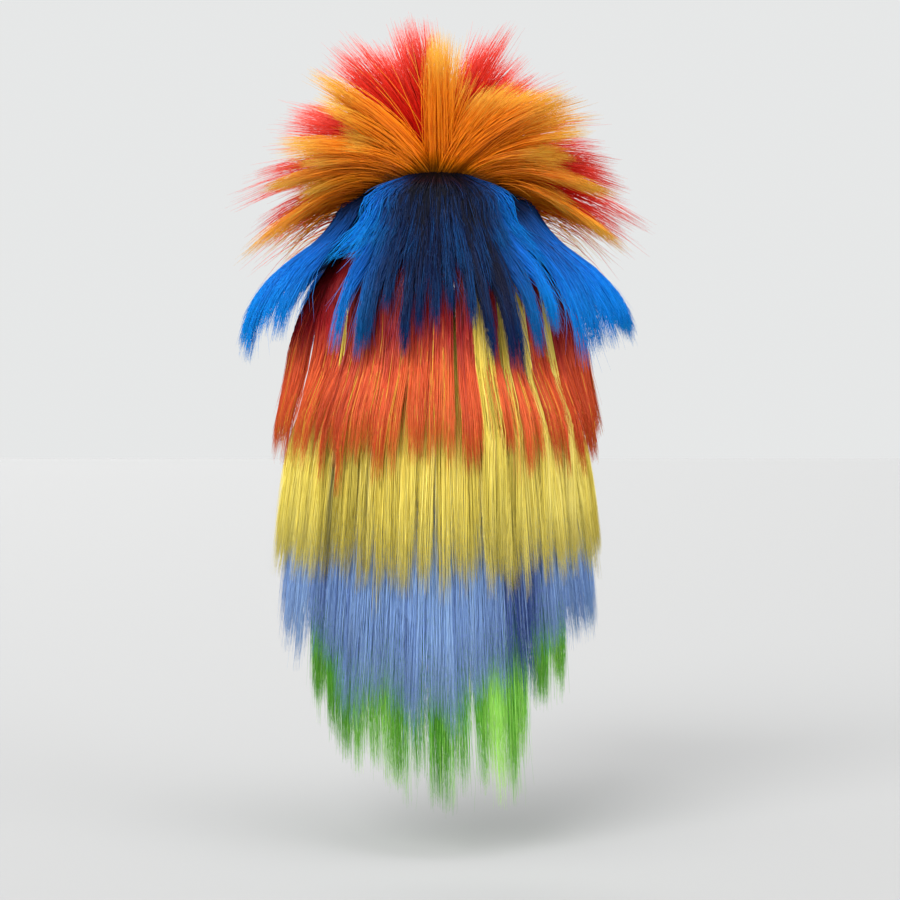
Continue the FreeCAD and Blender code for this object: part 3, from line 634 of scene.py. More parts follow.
def dome_height(x, y):
    """Height of the cap cloth above a place on the head: H sqrt(1 - (x/W)^2 - (y/L)^2)."""
    width, length, rise, _ = (v + ROOT_LIFT for v in HEAD)
    return rise * np.sqrt((1 - (x / width) ** 2 - (y / length) ** 2).clip(0.02))


# How much hair a crown row has at each fan angle, and what share of its row's length it reaches.
# Angles are in degrees from straight up, positive to the wearer's right. Red stands between the
# orange, and beyond it where the orange is shorter.
ORANGE_SHARE = (
    (-128, 0.05), (-119, 0.06), (-112, 0.8), (-106, 0.8), (-104, 0.2), (-99, 0.2), (-97, 1),
    (-92, 1), (-90, 0.12), (-86, 0.12), (-84, 1), (-47, 1), (-45.5, 0.003), (-4, 0.003), (-2, 0.8),
    (9, 0.8), (10.5, 0.015), (15, 0.015), (17, 0.2), (19.5, 0.2), (20.5, 0.004), (29, 0.004),
    (31, 0.6), (36, 0.9), (84, 1), (87, 0.15), (92, 0.15), (94, 1), (99, 1), (101, 0.2), (107, 0.2),
    (109, 0.7), (112, 0.7), (119, 0.06), (128, 0.05),
)
ORANGE_LENGTH = (
    (-128, 0.7), (-120, 0.8), (-112, 1.04), (-108, 0.66), (-98, 0.66), (-96, 1.05), (-93, 1.05),
    (-91, 0.66), (-83, 0.66), (-81, 1.06), (-74, 1.06), (-72, 0.62), (-58, 0.62), (-56, 1.04),
    (-46, 1.02), (-2, 1), (10, 1), (16, 0.9), (21, 0.8), (30, 0.74), (44, 0.78), (50, 0.96),
    (62, 1.04), (72, 1.05), (75, 0.72), (82, 0.72), (86, 0.66), (93, 0.66), (95, 1.05), (98, 1.05),
    (100, 0.62), (109, 0.62), (112, 1), (120, 0.8), (128, 0.6),
)
RED_SHARE = (
    (-116, 0.02), (-107, 0.2), (-105, 0.9), (-98, 0.9), (-96, 0.1), (-92, 0.1), (-90, 0.9),
    (-85, 0.9), (-83, 0.1), (-72, 0.1), (-70, 1), (-59, 1), (-57, 0.1), (-47, 0.1), (-45, 1.1),
    (-21, 1.1), (-20, 0.01), (-17, 0.01), (-16, 1.2), (-4, 1.2), (-2, 0.02), (9, 0.01), (15, 0.02),
    (17, 0.9), (19, 1.1), (29, 1.1), (31, 0.7), (46, 0.9), (49, 0.15), (74, 0.15), (77, 0.6),
    (82, 0.6), (86, 0.9), (92, 0.9), (94, 0.1), (98, 0.1), (100, 0.9), (109, 0.9), (112, 0.1),
    (118, 0.02),
)
RED_LENGTH = ((-70, 1.08), (-45, 1.02), (45, 1.02), (70, 1.08))
CROWN_TOP = 204.0  # no tip is higher
TUFT_PITCH = 5.4
TUFT_HALF = math.radians(2.2)  # spread of a tuft's fibres
TUFT_GATHER = 0.86  # how far they close up again at its tip
# Each crown row: its place along the head, lean backwards in degrees, half width of its roots,
# length, fibres and how far its fan opens.
CROWN = {
    "rear_orange_spikes": ("orange", 41, 11, 50, 101, 3800, 1.0),
    "whorl_orange_spikes": ("orange", 24, 5, 49, 102, 2900, 1.0),
    "crown_red_spikes": ("red", 6, 0, 49, 107, 2900, 1.0),
    "top_red_spikes": ("red", -16, -8, 50, 103, 2400, 0.98),
    "front_orange_spikes": ("orange", -42, -24, 54, 90, 1700, 0.9),
    "fringe_red_spikes": ("red", -66, -44, 46, 66, 1300, 0.72),
}


def fan_tufts(rng, share, reach, opening):
    """Tufts at a pitch across the fan, weighted and cut to length by angle."""
    angle = np.arange(-125, 126, TUFT_PITCH)
    angle = angle + rng.normal(0, 0.9, len(angle))
    weight = bent(angle, share) * rng.uniform(0.5, 1.5, len(angle))
    return {
        "angle": np.radians(angle) * opening,
        "weight": weight / weight.sum(),
        "length": bent(angle, reach) * rng.uniform(0.84, 1.06, len(angle)),
        "tone": rng.normal(0, 1, len(angle)),
        "tilt": rng.normal(0, 4, len(angle)),
    }


def crown_fan(rng, count, tufts, y, lean, half, length):
    """Stiff hair of one crown row, in pointed tufts opened like a fan.

    path(s) = root + length * (mix of the cap's own slope and the tuft's direction) * s, with a
    droop at the sides that grows with s squared, and the tuft narrowing to its tip."""
    which = rng.choice(len(tufts["angle"]), count, p=tufts["weight"])
    aim = tufts["angle"][which]
    part = rng.normal(0, 1, count)
    angle = aim + part * TUFT_HALF
    side = np.sign(aim) * (np.abs(aim) / math.radians(115)) ** 2.0
    x0 = (-half * side + rng.normal(0, 3.6, count)).clip(-half - 8, half + 8)
    y0 = y + rng.uniform(-8, 8, count) - 26 * (x0 / 50) ** 2
    root = np.stack([x0, y0, dome_height(x0, y0)], axis=-1)
    width, length_half, rise, _ = HEAD
    normal = unit(root / np.array([width**2, length_half**2, rise**2]))
    tilt = np.radians(lean + tufts["tilt"][which] + rng.normal(0, 4, count))
    level = np.cos(tilt)
    way = np.stack([-np.sin(angle) * level, np.sin(tilt), np.cos(angle) * level], axis=-1)
    s = np.linspace(0, 1, RINGS)[None, :, None]
    long = length * tufts["length"][which] * (1 - 0.1 * np.abs(part).clip(0, 2.5))
    long = long * (1 - rng.exponential(0.06, count).clip(0, 0.5))
    start = unit(normal * 0.6 + way * 0.4)
    turn = s - 0.5 * s**2
    early = turn - 0.5 * s**2
    mixed = start[:, None, :] * early * 0.6 + way[:, None, :] * (s - 0.6 * early)
    path = root[:, None, :] + long[:, None, None] * mixed
    flat = np.sin(angle) ** 2
    path[:, :, 2] -= (long * 0.05 * flat)[:, None] * s[:, :, 0] ** 2
    gather = (aim - angle)[:, None] * TUFT_GATHER * long[:, None] * s[:, :, 0] ** 2
    path[:, :, 0] -= gather * np.cos(angle)[:, None]
    path[:, :, 2] -= gather * np.sin(angle)[:, None]
    path += rng.normal(0, 1.6, (count, 3))[:, None, :] * s**2
    rise = path[:, -1, 2] - root[:, 2]
    cut = ((CROWN_TOP - root[:, 2]) / rise.clip(1, None)).clip(None, 1)
    path = root[:, None, :] + (path - root[:, None, :]) * cut[:, None, None]
    tone = 0.6 * tufts["tone"][which] + 0.9 * rng.normal(0, 1, count)
    return path, tone


def make_crown_hair(finishes):
    """Six rows of spikes from the whorl to the forehead."""
    tables = {"orange": (ORANGE_SHARE, ORANGE_LENGTH), "red": (RED_SHARE, RED_LENGTH)}
    for number, (node, row) in enumerate(CROWN.items()):
        colour, y, lean, half, length, count, opening = row
        rng = np.random.default_rng(200 + number)
        tufts = fan_tufts(rng, *tables[colour], opening)
        path, tone = crown_fan(rng, count, tufts, y, lean, half, length)
        shade = (0.5 + 0.14 * tone).clip(0.03, 0.97)
        girth = 0.28 * rng.uniform(0.75, 1.2, count)
        slot = f"{colour}_fibre"
        piece = fibres(node.replace("spikes", "hair"), path, girth, shade, finishes[slot])
        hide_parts(node)
        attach(piece, "cap")


# ---------------------------------------------------------------- fringe and sideburns


def make_fringe_hair(finishes):
    """Short red locks over the forehead. Their azimuths are round the front of the ring."""
    rng = np.random.default_rng(61)
    locks = even_locks(rng, 146, 214, 4.2, ((146, -6), (214, -6)), 4)
    rows = ((68, 60, 51, 41.6), (0.25, 0.25, 0.25, 0.25))
    reaches = layer_reach(((0, 14, 30, 58), (1, 13, 19, 25), (1, 3, 4, 3)))
    style = dict(
        point=9, ragged=5, wisp_drop=3, gather=0.6, fine=0.4, stray=1.2, loose=0.06, bow=0.8, fly=1.5,
        seat=50,
    )
    paths, _, tone = hang(rng, 2600, locks, reaches, rows, style)
    shade = (0.5 + 0.14 * tone).clip(0.03, 0.97)
    girth = 0.26 * rng.uniform(0.75, 1.2, len(shade))
    piece = fibres("fringe_hair", paths, girth, shade, finishes["red_fibre"])
    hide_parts("fringe_locks")
    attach(piece, "cap")


def make_sideburns(finishes):
    """A thin blue lock in front of each ear, drawn to a point. It goes with its ear tab."""
    for side, sign in (("left", 1), ("right", -1)):
        rng = np.random.default_rng(71)
        count = 420
        low, high = (np.array(corner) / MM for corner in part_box(f"sideburn_{side}"))
        across = rng.uniform(-1, 1, count)
        middle = (low[1] + high[1]) / 2
        y = middle + across * 6
        s = np.linspace(0, 1, RINGS)[None, :]
        length = rng.uniform(46, 62, count) - 8 * np.abs(across)
        z = high[2] - 1 - length[:, None] * s
        pull = 1 - 0.75 * eased(s)
        y_path = middle + (y - middle)[:, None] * pull - 3 * s**2
        out = HEAD[0] * np.sqrt(1 - (y_path / HEAD[1]) ** 2) + 0.5
        depth = rng.uniform(0, 1, count)[:, None] * np.interp(s, (0, 0.3, 1), (0.8, 4, 1.5))
        x = sign * (out + depth + 1.5 * s)
        paths = np.stack([x, y_path, z], axis=-1)
        shade = rng.normal(0.5, 0.18, count).clip(0.03, 0.97)
        girth = 0.26 * rng.uniform(0.75, 1.2, count)
        name = f"sideburn_hair_{side}"
        piece = fibres(name, paths, girth, shade, finishes["blue_fibre"])
        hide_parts(f"sideburn_{side}")
        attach(piece, f"ear_tab_{side}")


# ---------------------------------------------------------------- cap cloth

HEAD_FORM = (77.0, 97.0, 97.0, 130.0)  # the head inside the cap: half width, half length, up, down
NET_THREAD = 0.45  # the net's threads run this far outside the head
LINING = (-1.8, 1.6)  # inner face and thickness of the bands under the net
RIBBON = (0.0, 1.0)  # the same for straps and ear tabs
NET_PITCH = 5.0
BACK = math.pi
NAPE_AXIS_Y = 30.56  # the hooks move on a circle round this upright axis


def on_head(turn, height, lift):
    """Points on the head's form grown by lift, at a turn from the forehead towards the left ear.

    reach = sqrt(1 - (z / H)^2) / hypot(sin turn / W, cos turn / L)."""
    wide, deep, rise, fall = (v + lift for v in HEAD_FORM)
    level = np.sqrt((1 - (height / np.where(height >= 0, rise, fall)) ** 2).clip(0))
    reach = level / np.hypot(np.sin(turn) / wide, np.cos(turn) / deep)
    return np.stack([reach * np.sin(turn), -reach * np.cos(turn), height + 0 * reach], axis=-1)


def turn_of(y, height):
    """The turn from the forehead of a place given by its Y and height, on the left side."""
    wide, deep, rise, fall = HEAD_FORM
    share = 1 - (y / deep) ** 2 - (height / (rise if height >= 0 else fall)) ** 2
    return math.atan2(wide * math.sqrt(max(share, 0)), -y)


def edge(*corners):
    """An edge's corners as (turn, height). A corner is (Y, height), or (turn,) and height."""
    turns = [y[0] if isinstance(y, tuple) else turn_of(y, height) for y, height in corners]
    return np.array([(turn, height) for turn, (_, height) in zip(turns, corners)])


def smooth_edge(corners, count):
    """A smooth line of (turn, height) through an edge's corners."""
    places = np.linspace(0, 1, len(corners))
    t = np.linspace(0, 1, count)
    return np.stack([smooth_through(t, places, corners[:, k]) for k in (0, 1)], axis=-1)


def mirrored(line):
    """The same line on the wearer's right."""
    return line * np.array([-1, 1])


def across_middle(line):
    """A line that starts in the middle, continued on the other side: right end to left end."""
    other = mirrored(line)
    if line[0, 0] < BACK / 2:
        return np.concatenate([other[::-1], line[1:]])
    other[:, 0] += TURN
    return np.concatenate([line[::-1], other[1:]])


def skin_faces(rings, loop, closed=False):
    """Triangles of a closed section carried along a path. Open ends are filled with a fan."""
    ring = np.arange(rings if closed else rings - 1)[:, None]
    corner = np.arange(loop)[None, :]
    here, there = ring * loop, (ring + 1) % rings * loop
    beside = (corner + 1) % loop
    first = np.stack([here + corner, here + beside, there + beside], axis=-1)
    second = np.stack([here + corner, there + beside, there + corner], axis=-1)
    walls = np.concatenate([first.reshape(-1, 3), second.reshape(-1, 3)])
    if closed:
        return walls
    k = np.arange(1, loop - 1)
    near = np.stack([0 * k, k + 1, k], axis=-1)
    far = (rings - 1) * loop + np.stack([0 * k, k, k + 1], axis=-1)
    return np.concatenate([walls, near, far])


def outward(points, faces):
    """The faces, turned round if their signed volume, the sum of p0 . (p1 x p2) / 6, is negative."""
    a, b, c = (points[faces[:, k]] for k in range(3))
    volume = np.einsum("ij,ij->i", a, np.cross(b, c)).sum()
    return faces if volume > 0 else faces[:, ::-1]


def ribbon(name, low, high, layer, finish, hem=0.2, ribs=0.0, rib_count=0):
    """A cloth strip on the head between two edge lines of (turn, height).

    outer(w) = inner + thickness * (1 + edge(w)) / 2 + hem ridges near both edges, and
    inner(w) = inner + thickness * (1 - edge(w)) / 2, with edge(w) = sqrt(1 - |2w - 1|^12)."""
    inner, thick = layer
    across = np.linspace(0, 1, 17)
    around = np.concatenate([across, across[-2:0:-1]])
    outer_face = np.concatenate([np.ones(17), np.zeros(15)])
    round_off = np.sqrt(1 - np.abs(2 * around - 1) ** 12)
    ridge = hem * (bump_at(around, 0.09, 0.05) + bump_at(around, 0.91, 0.05))
    sign = np.where(outer_face > 0, 1, -1)
    thick = np.broadcast_to(np.asarray(thick, float), (len(low),))[:, None]
    lift = inner + thick * (1 + sign * round_off) / 2 + sign * ridge
    if rib_count:
        phase = np.linspace(0, rib_count * TURN, len(low))[:, None]
        lift = lift + ribs * sign * round_off * np.cos(phase)
    place = low[:, None, :] + (high - low)[:, None, :] * around[None, :, None]
    points = on_head(place[..., 0], place[..., 1], lift).reshape(-1, 3)
    faces = outward(points, skin_faces(len(low), len(around)))
    return make_piece(name, points, faces, finish)


def threads(name, paths, girth, finish, even=True):
    """Threads of one girth along their paths."""
    count = len(paths)
    return fibres(name, paths, np.full(count, girth), np.linspace(0.3, 0.7, count), finish, even)


def stitches(name, lines, lift, pitch, finish):
    """Short raised threads end to end along lines of (turn, height), with a gap after each."""
    paths = []
    for line in lines:
        points = on_head(line[:, 0], line[:, 1], lift)
        run = np.concatenate([[0], np.cumsum(np.linalg.norm(np.diff(points, axis=0), axis=1))])
        start = np.arange(0.5, run[-1] - pitch, pitch)
        at = start[:, None] + np.linspace(0, 0.68, 4)[None, :] * pitch
        paths.append(np.stack([np.interp(at, run, points[:, k]) for k in range(3)], axis=-1))
    return threads(name, np.concatenate(paths), 0.24, finish, even=False)


def inside_outline(y, z, outline):
    """True where a place in the side view is inside an outline, by counting crossed edges."""
    inside = np.zeros(y.shape, bool)
    for (y1, z1), (y2, z2) in zip(outline, outline[1:] + outline[:1]):
        if z1 != z2:
            crossing = y1 + (z - z1) * (y2 - y1) / (z2 - z1)
            inside ^= ((z1 > z) != (z2 > z)) & (y < crossing)
    return inside


def make_crown_net(finishes):
    """The crown's lace: threads on two sets of lines, at right angles on the unrolled dome.

    An unrolled place (u, v) lies at angle hypot(u, v) / R from the top, towards atan2(u, v)."""
    outline = [
        (-112, 34), (-66, 32), (-50, 13), (-34, 11), (-22, 21), (8, 21), (14, 33), (112, 56),
        (112, 117), (-112, 117),
    ]
    reach, mean = 160.0, 88.0
    lines = np.arange(-reach, reach, NET_PITCH)
    knots = np.arange(-reach, reach + 1, NET_PITCH)
    first = np.stack(np.meshgrid(lines + NET_PITCH / 2, knots, indexing="ij"), axis=-1)
    segments = np.concatenate([
        np.stack([first[:, :-1], first[:, 1:]], axis=2).reshape(-1, 2, 2),
        np.stack([first[:, :-1, ::-1], first[:, 1:, ::-1]], axis=2).reshape(-1, 2, 2),
    ])
    middle = (segments[:, :1] + segments[:, 1:]) / 2
    places = np.concatenate([segments[:, :1], middle, segments[:, 1:]], axis=1)
    u = (places[..., 0] + places[..., 1]) * 0.7071
    v = (places[..., 0] - places[..., 1]) * 0.7071
    angle = np.hypot(u, v) / mean
    way = np.arctan2(u, v)
    size = np.array(HEAD_FORM[:3]) + NET_THREAD
    flat = np.sin(angle)
    near = np.stack([flat * np.sin(way), flat * np.cos(way), np.cos(angle)], axis=-1)
    points = near / np.linalg.norm(near / size, axis=-1, keepdims=True)
    keep = inside_outline(points[:, 1, 1], points[:, 1, 2], outline) & (angle[:, 1] < 1.75)
    piece = threads("crown_lace", points[keep], 0.3, finishes["net_cloth"])
    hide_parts("crown_net")
    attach(piece, "cap")


def rides_cap(piece, *nodes):
    """The piece stands for the CAD nodes named, and goes with the cap."""
    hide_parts(*nodes)
    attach(piece, "cap")


def make_bands(finishes):
    """Front band, side bindings and nape band, with hems and a row of stitches on each edge."""
    satin = finishes["band_cloth"]
    low = across_middle(smooth_edge(edge(((0,), 32), (-66, 30), (-50, 8), (-34, 6)), 70))
    high = across_middle(smooth_edge(edge(((0,), 50), (-60, 48), (-42, 26), (-34, 24)), 70))
    rides_cap(ribbon("front_satin_band", low, high, LINING, satin), "front_band")
    rows = [low + (high - low) * share for share in (0.14, 0.86)]

    nape_low = edge(((BACK,), -71.5), (80, -71.6), (60, -68.4), (44.5, -66))
    nape_high = edge(((BACK,), -56), (80, -56), (68, -54.5), (57, -53.6))
    nape_low, nape_high = (across_middle(smooth_edge(line, 110)) for line in (nape_low, nape_high))
    elastic = ribbon(
        "nape_elastic_band", nape_low, nape_high, LINING, satin, ribs=0.12, rib_count=72
    )
    rides_cap(elastic, "nape_band")
    rows += [nape_low + (nape_high - nape_low) * share for share in (0.16, 0.84)]

    ear_low = smooth_edge(edge((-33.5, 6.6), (-22, 20), (8, 20), (20, 4), (30, -38), (43.5, -66)), 110)
    ear_high = smooth_edge(edge((-33.5, 24), (-27, 33), (14, 33), (33, 12), (44, -30), (56.5, -53)), 110)
    for side, flip in (("left", lambda line: line), ("right", mirrored)):
        low, high = flip(ear_low), flip(ear_high)
        piece = ribbon(f"ear_binding_{side}", low, high, LINING, satin)
        rides_cap(piece, f"side_binding_{side}")
        rows += [low + (high - low) * share for share in (0.16, 0.84)]
    thread = finishes["loop_thread"]
    inside = stitches("band_stitches", rows, LINING[0] - 0.12, 3.2, thread)
    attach(inside, "cap")


def ring_line(azimuth, height, lift=0.0, axis_y=RING_Y):
    """The (turn, height) of places given by azimuth round an upright axis."""
    points = ring_points(azimuth, cap_reach(azimuth, height, lift, axis_y), height, axis_y)
    return np.stack([np.arctan2(points[..., 0], -points[..., 1]), height], axis=-1)


def make_straps(finishes):
    """The upright ribbons behind the head, between the nape band and the net."""
    rows = []
    for node, width, azimuth in (
        ("spine_strap", 14, 0.0),
        ("back_strap_left", 12, 42.0),
        ("back_strap_right", 12, -42.0),
    ):
        top = 50 if azimuth == 0 else 46
        height = np.linspace(-66, top, 120)
        middle = np.full(120, math.radians(azimuth))
        half = np.arcsin(width / 2 / cap_reach(middle, height))
        low = ring_line(middle - half, height)
        high = ring_line(middle + half, height)
        low[:, 0] %= TURN
        high[:, 0] %= TURN
        name = node.replace("strap", "ribbon")
        cloth = finishes["strap_cloth"]
        piece = ribbon(name, low, high, RIBBON, cloth, ribs=0.06, rib_count=55)
        rides_cap(piece, node)
        rows += [low + (high - low) * share for share in (0.15, 0.85)]
    inside = stitches("strap_stitches", rows, -0.12, 3.0, finishes["loop_thread"])
    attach(inside, "cap")


WEFT_LEVELS = {
    "blue": (52.0, 41.6),
    "red": (31.2, 20.8, 10.4),
    "yellow": (0.0, -9.3, -18.6),
    "periwinkle": (-27.9, -37.1, -46.4),
    "green": (-55.7, -65.0),
}
# How far forward a sewn row reaches behind the ears: Y at each height.
WEFT_ENDS = ((-68, 50), (-40, 40), (10, 26), (33, 14))
FULL_RING = 40.0  # rows above this height go right round the head
ROW_RINGS = 160


def make_wefts(finishes):
    """Each colour's sewn rows: a flat twin cord with a zigzag of thread along its inner side.

    section(q) = (1.75 cos q across, 0.6 sin q (0.7 + 0.3 |cos q|) out), carried along the row."""
    section = np.arange(12) * TURN / 12
    wide = 1.75 * np.cos(section)
    out = 1.7 + 0.62 * np.sin(section) * (0.7 + 0.3 * np.abs(np.cos(section)))
    cloth = finishes["weft_black"]
    zigzags = []
    for colour, levels in WEFT_LEVELS.items():
        points, faces, base = [], [], 0
        for level in levels:
            whole = level > FULL_RING
            end = BACK if whole else BACK - turn_of(bent(level, WEFT_ENDS), level)
            turn = BACK + np.linspace(-end, end, ROW_RINGS, endpoint=not whole)
            row = on_head(turn[:, None], level + wide[None, :], out[None, :]).reshape(-1, 3)
            points.append(row)
            faces.append(outward(row, skin_faces(ROW_RINGS, 12, whole)) + base)
            base += len(row)
            legs = np.linspace(-end, end, int(end * 56)) + BACK
            side = np.where(np.arange(len(legs)) % 2, 1.5, -1.5)
            corner = on_head(legs, level + side, 1.0)
            halfway = (corner[:-1] + corner[1:]) / 2
            zigzags.append(np.stack([corner[:-1], halfway, corner[1:]], axis=1))
        points, faces = np.concatenate(points), np.concatenate(faces)
        piece = make_piece(f"{colour}_sewn_rows", points, faces, cloth)
        rides_cap(piece, f"{colour}_wefts")
    legs = np.concatenate(zigzags)
    thread = threads("sewn_row_stitches", legs, 0.2, finishes["loop_thread"])
    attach(thread, "cap")


def make_ear_tabs(finishes):
    """The rounded tab in front of each ear."""
    net = finishes["net_cloth"]
    front = smooth_edge(edge((-50, 5.4), (-51, -8), (-49, -27), (-45, -38)), 60)
    back = smooth_edge(edge((-35, 5.4), (-34.5, -8), (-36.5, -27), (-40, -38)), 60)
    for side, flip in (("left", lambda line: line), ("right", mirrored)):
        piece = ribbon(f"ear_flap_{side}", flip(front), flip(back), RIBBON, net)
        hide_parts(f"ear_tab_{side}")
        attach(piece, f"ear_tab_{side}")


def make_adjusters(finishes):
    """The elastic between each hook and the place where it is sewn to the nape band."""
    for side, sign in (("left", 1), ("right", -1)):
        azimuth = sign * np.radians(np.linspace(42.4, 62, 60))
        heights = [np.full(60, height) for height in (-70.0, -62.0)]
        low, high = (ring_line(azimuth, height, -5.2, NAPE_AXIS_Y) for height in heights)
        thick = np.interp(np.abs(np.degrees(azimuth)), (56, 57.5), (1.0, 2.2))
        piece = ribbon(
            f"elastic_{side}", low, high, (-4.2, thick), finishes["elastic_cloth"],
            hem=0.1, ribs=0.1, rib_count=22,
        )
        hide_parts(f"adjuster_strap_{side}")
        held, hooked = (on_head(low[k, 0], -66.0, -3.7) * MM for k in (-12, 2))
        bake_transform(piece)


def finish_plain_nodes(finishes):
    """The cap's own CAD pieces that stay visible get their finishes."""
    for slot, names in {
        "patch_skin": ("crown_patch",),
        "label_cloth": ("care_label",),
        "weft_black": ("crown_wefts",),
        "loop_thread": ("hook_loops_left", "hook_loops_right"),
        "hook_plastic": ("adjuster_hook_left", "adjuster_hook_right"),
        "stay_plastic": ("ear_stay_left", "ear_stay_right"),
    }.items():
        for name in names:
            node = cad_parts[name]
            node.data.materials.clear()
            node.data.materials.append(finishes[slot])


# ---------------------------------------------------------------- finishes


def woven_finish(name, thread, gap, pitch, roughness, strength, ribbed=False, **constants):
    """Woven cloth: warp and weft as two sine waves a pitch apart, with a cloudy shade over them.
    Where the threads dip, the gap colour is painted shade.

    weave = sin(2 pi (x + y) / pitch) * sin(2 pi z / pitch); a ribbed cloth keeps only the second."""
    finish = Finish(name, Roughness=roughness, **constants)
    place = finish.position()
    x, y, z = finish.parts(place)
    turns = TURN / (pitch * MM)
    weft = (z * turns).sin()
    weave = weft if ribbed else ((x + y) * turns).sin() * weft
    cloud = finish.noise(place, 180.0, 3.0)
    # painted shade: the weave's dips take the gap colour; the cloud is random tone
    shade = ((weave * 0.35 + 0.5) + (cloud - 0.5) * 0.5).clipped()
    bump = finish.bump(weave * 0.5 + cloud * 0.4, strength, 0.25 * MM)
    return finish.feed(Base_Color=finish.mix(shade, gap, thread), Normal=bump)


def moulded_finish(name, light, dark, roughness, grain):
    """Moulded plastic or skin: two close shades in soft clouds, over a fine grain."""
    finish = Finish(name)
    place = finish.position()
    cloud = finish.noise(place, 90.0, 4.0)
    fine = finish.noise(place, 1400.0, 2.0)
    return finish.feed(
        Base_Color=finish.mix(cloud.clipped(), dark, light),
        Roughness=cloud * 0.15 + roughness,
        Normal=finish.bump(fine, grain, 0.1 * MM),
    )


def make_finishes():
    """Every finish by the name of its slot."""
    # near black: the painted shade of the blue roots
    black = (0.004, 0.005, 0.008)
    # ink for thread; the darker second colour is painted shade in the gaps between threads
    ink, thread_gap_shade = (0.022, 0.022, 0.025), (0.006, 0.006, 0.008)
    finishes = {}
    # The colours from root to tip, and what each shade of strand makes of them.
    # The dark root end of each ramp along V is painted shade, where the roots lie under the hair above.
    for name, ramps in {
        "orange_fibre": (
            ((0.0, (0.55, 0.16, 0.003)), (0.15, (0.93, 0.22, 0.001)), (0.65, (0.95, 0.25, 0.003)),
             (1.0, (0.84, 0.46, 0.04))),
            ((0.0, (0.62, 0.50, 0.3)), (0.5, (1.0, 1.0, 1.0)), (1.0, (1.08, 1.45, 1.6))),
        ),
        "red_fibre": (
            ((0.0, (0.30, 0.003, 0.002)), (0.3, (0.74, 0.006, 0.002)), (0.7, (0.92, 0.028, 0.01)),
             (1.0, (0.86, 0.09, 0.06))),
            ((0.0, (0.62, 0.5, 0.5)), (0.5, (1.0, 1.0, 1.0)), (1.0, (1.1, 1.5, 1.5))),
        ),
        "blue_fibre": (
            # Painted shade: the whole first ramp and the black root end of the second; azure is the
            # blue's own colour.
            ((0.0, black), (0.3, (0.003, 0.002, 0.006)), (0.6, (0.004, 0.003, 0.018)),
             (1.0, (0.003, 0.011, 0.09))),
            ((0.0, black), (0.2, (0.001, 0.014, 0.07)), (0.5, (0.0, 0.16, 0.70)),
             (1.0, (0.0, 0.36, 1.0))),
        ),
        "long_red_fibre": (
            # Painted shadow: the long red stays dark crimson over the part of its length under the blue
            # layer.
            ((0.0, (0.10, 0.0, 0.002)), (0.42, (0.42, 0.004, 0.008)), (0.62, (0.86, 0.115, 0.024)),
             (1.0, (0.86, 0.14, 0.03))),
            ((0.0, (0.55, 0.3, 0.4)), (0.5, (1.0, 1.0, 1.0)), (0.92, (1.08, 2.0, 1.8)),
             (0.95, (0.95, 4.4, 1.2))),
        ),
        "yellow_fibre": (
            ((0.0, (0.45, 0.28, 0.03)), (0.4, (0.96, 0.74, 0.09)), (0.8, (0.96, 0.80, 0.13)),
             (1.0, (0.86, 0.72, 0.14))),
            # yellow: the dark slate at a shade near 0 is the painted shade of those gaps
            ((0.0, (0.10, 0.15, 0.9)), (0.25, (0.5, 0.48, 0.4)), (0.6, (1.0, 1.0, 1.0)),
             (1.0, (1.05, 1.12, 2.2))),
        ),
        "periwinkle_fibre": (
            ((0.0, (0.10, 0.175, 0.40)), (0.5, (0.235, 0.42, 0.79)), (1.0, (0.30, 0.48, 0.83))),
            ((0.0, (0.12, 0.16, 0.35)), (0.3, (0.55, 0.55, 0.7)), (0.6, (1.0, 1.0, 1.0)),
             (1.0, (1.5, 1.35, 1.12))),
        ),
        "green_fibre": (
            ((0.0, (0.02, 0.12, 0.02)), (0.6, (0.075, 0.46, 0.022)), (1.0, (0.19, 0.60, 0.055))),
            ((0.0, (0.5, 0.6, 0.6)), (0.45, (1.0, 1.0, 1.0)), (1.0, (4.0, 2.0, 5.0))),
        ),
    }.items():
        make = painted_shade_blend_finish if name == "blue_fibre" else fibre_finish
        finishes[name] = make(name, *ramps)
    # Thread and gap colours, pitch, roughness and how deep the weave is.
    for name, values in {
        "net_cloth": (ink, thread_gap_shade, 0.5, 0.7, 0.3),
        "weft_black": (ink, thread_gap_shade, 0.6, 0.75, 0.5),
        "elastic_cloth": ((0.04, 0.04, 0.045), thread_gap_shade, 0.8, 0.65, 0.5),
        "loop_thread": ((0.05, 0.05, 0.055), thread_gap_shade, 0.4, 0.6, 0.5),
        "label_cloth": ((0.85, 0.85, 0.83), (0.6, 0.6, 0.58), 0.35, 0.45, 0.3),
    }.items():
        finishes[name] = woven_finish(name, *values)
    satin = (0.03, 0.03, 0.034)
    finishes["band_cloth"] = woven_finish("band_cloth", satin, thread_gap_shade, 0.9, 0.42, 0.3, Sheen_Weight=0.3)
    finishes["strap_cloth"] = woven_finish("strap_cloth", ink, thread_gap_shade, 1.1, 0.6, 0.5, ribbed=True)
    # Light and dark shades, roughness and grain.
    for name, values in {
        "patch_skin": ((0.62, 0.42, 0.3), (0.5, 0.32, 0.22), 0.45, 0.4),
        "hook_plastic": ((0.035, 0.035, 0.04), (0.02, 0.02, 0.022), 0.25, 0.2),
        "stay_plastic": ((0.7, 0.7, 0.68), (0.55, 0.55, 0.53), 0.3, 0.2),
    }.items():
        finishes[name] = moulded_finish(name, *values)
    return finishes


# ---------------------------------------------------------------- stage


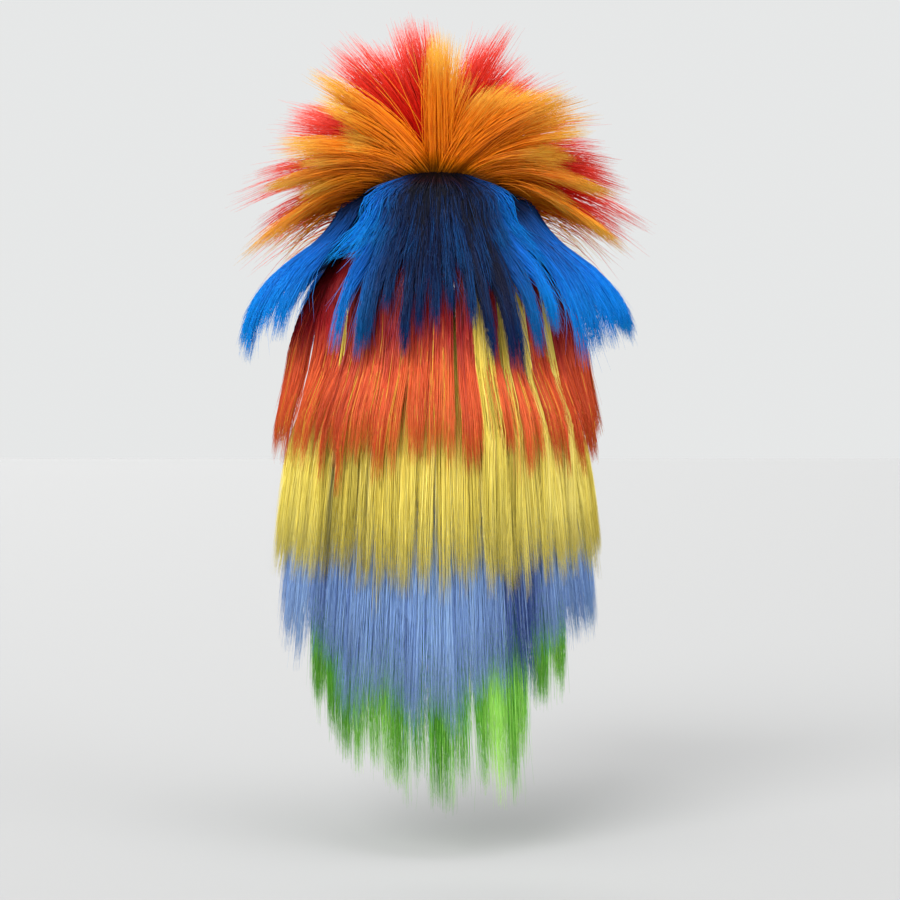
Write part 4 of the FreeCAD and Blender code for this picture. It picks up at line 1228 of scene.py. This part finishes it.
def make_stage():
    """A plain pale floor below the hair, soft studio light and a level camera from behind."""
    floor = bpy.data.meshes.new("floor")
    far, low = 60.0, CAD_BOX[0][2] - FLOOR_GAP
    corners = [(-far, -far, low), (far, -far, low), (far, far, low), (-far, far, low)]
    floor.from_pydata(corners, [], [(0, 1, 2, 3)])
    finish = Finish("pale_floor", Roughness=0.9)
    finish.shader.inputs["Base Color"].default_value = (0.405, 0.405, 0.405, 1.0)
    floor.materials.append(finish.material)
    floor = bpy.data.objects.new("floor", floor)
    bpy.context.scene.collection.objects.link(floor)

    world = bpy.data.worlds.new("studio")
    world.use_nodes = True
    world.node_tree.nodes["Background"].inputs["Color"].default_value = (0.80, 0.81, 0.81, 1.0)
    world.node_tree.nodes["Background"].inputs["Strength"].default_value = 0.99
    bpy.context.scene.world = world

    for name, place, power in (
        ("key", (0.9, 1.6, 1.3), 2.4),
        ("fill", (-1.7, 1.3, 0.5), 1.2),
        ("top", (0.0, 0.2, 2.0), 0.8),
        ("front", (0.5, -1.8, 0.8), 1.1),
    ):
        light = bpy.data.lights.new(name, "SUN")
        light.angle = SOFT_ANGLE
        light.energy = power
        lamp = bpy.data.objects.new(name, light)
        lamp.location = place
        lamp.rotation_euler = (-Vector(place)).to_track_quat("-Z", "Y").to_euler()
        bpy.context.scene.collection.objects.link(lamp)

    camera = bpy.data.cameras.new("camera")
    camera.sensor_width = SENSOR
    camera.lens = SENSOR * VIEW_DISTANCE / VIEW_WIDTH
    view = bpy.data.objects.new("camera", camera)
    view.location = (VIEW_X * MM, (HAIR_PLANE + VIEW_DISTANCE) * MM, VIEW_Z * MM)
    view.rotation_euler = (math.pi / 2, 0, math.pi)
    bpy.context.scene.collection.objects.link(view)
    bpy.context.scene.camera = view
    bpy.context.scene.view_settings.view_transform = "Standard"


finishes = make_finishes()
make_long_hair(finishes)
make_blue_hair(finishes)
make_crown_hair(finishes)
make_fringe_hair(finishes)
make_sideburns(finishes)
make_crown_net(finishes)
make_bands(finishes)
make_straps(finishes)
make_wefts(finishes)
make_ear_tabs(finishes)
make_adjusters(finishes)
finish_plain_nodes(finishes)
make_stage()
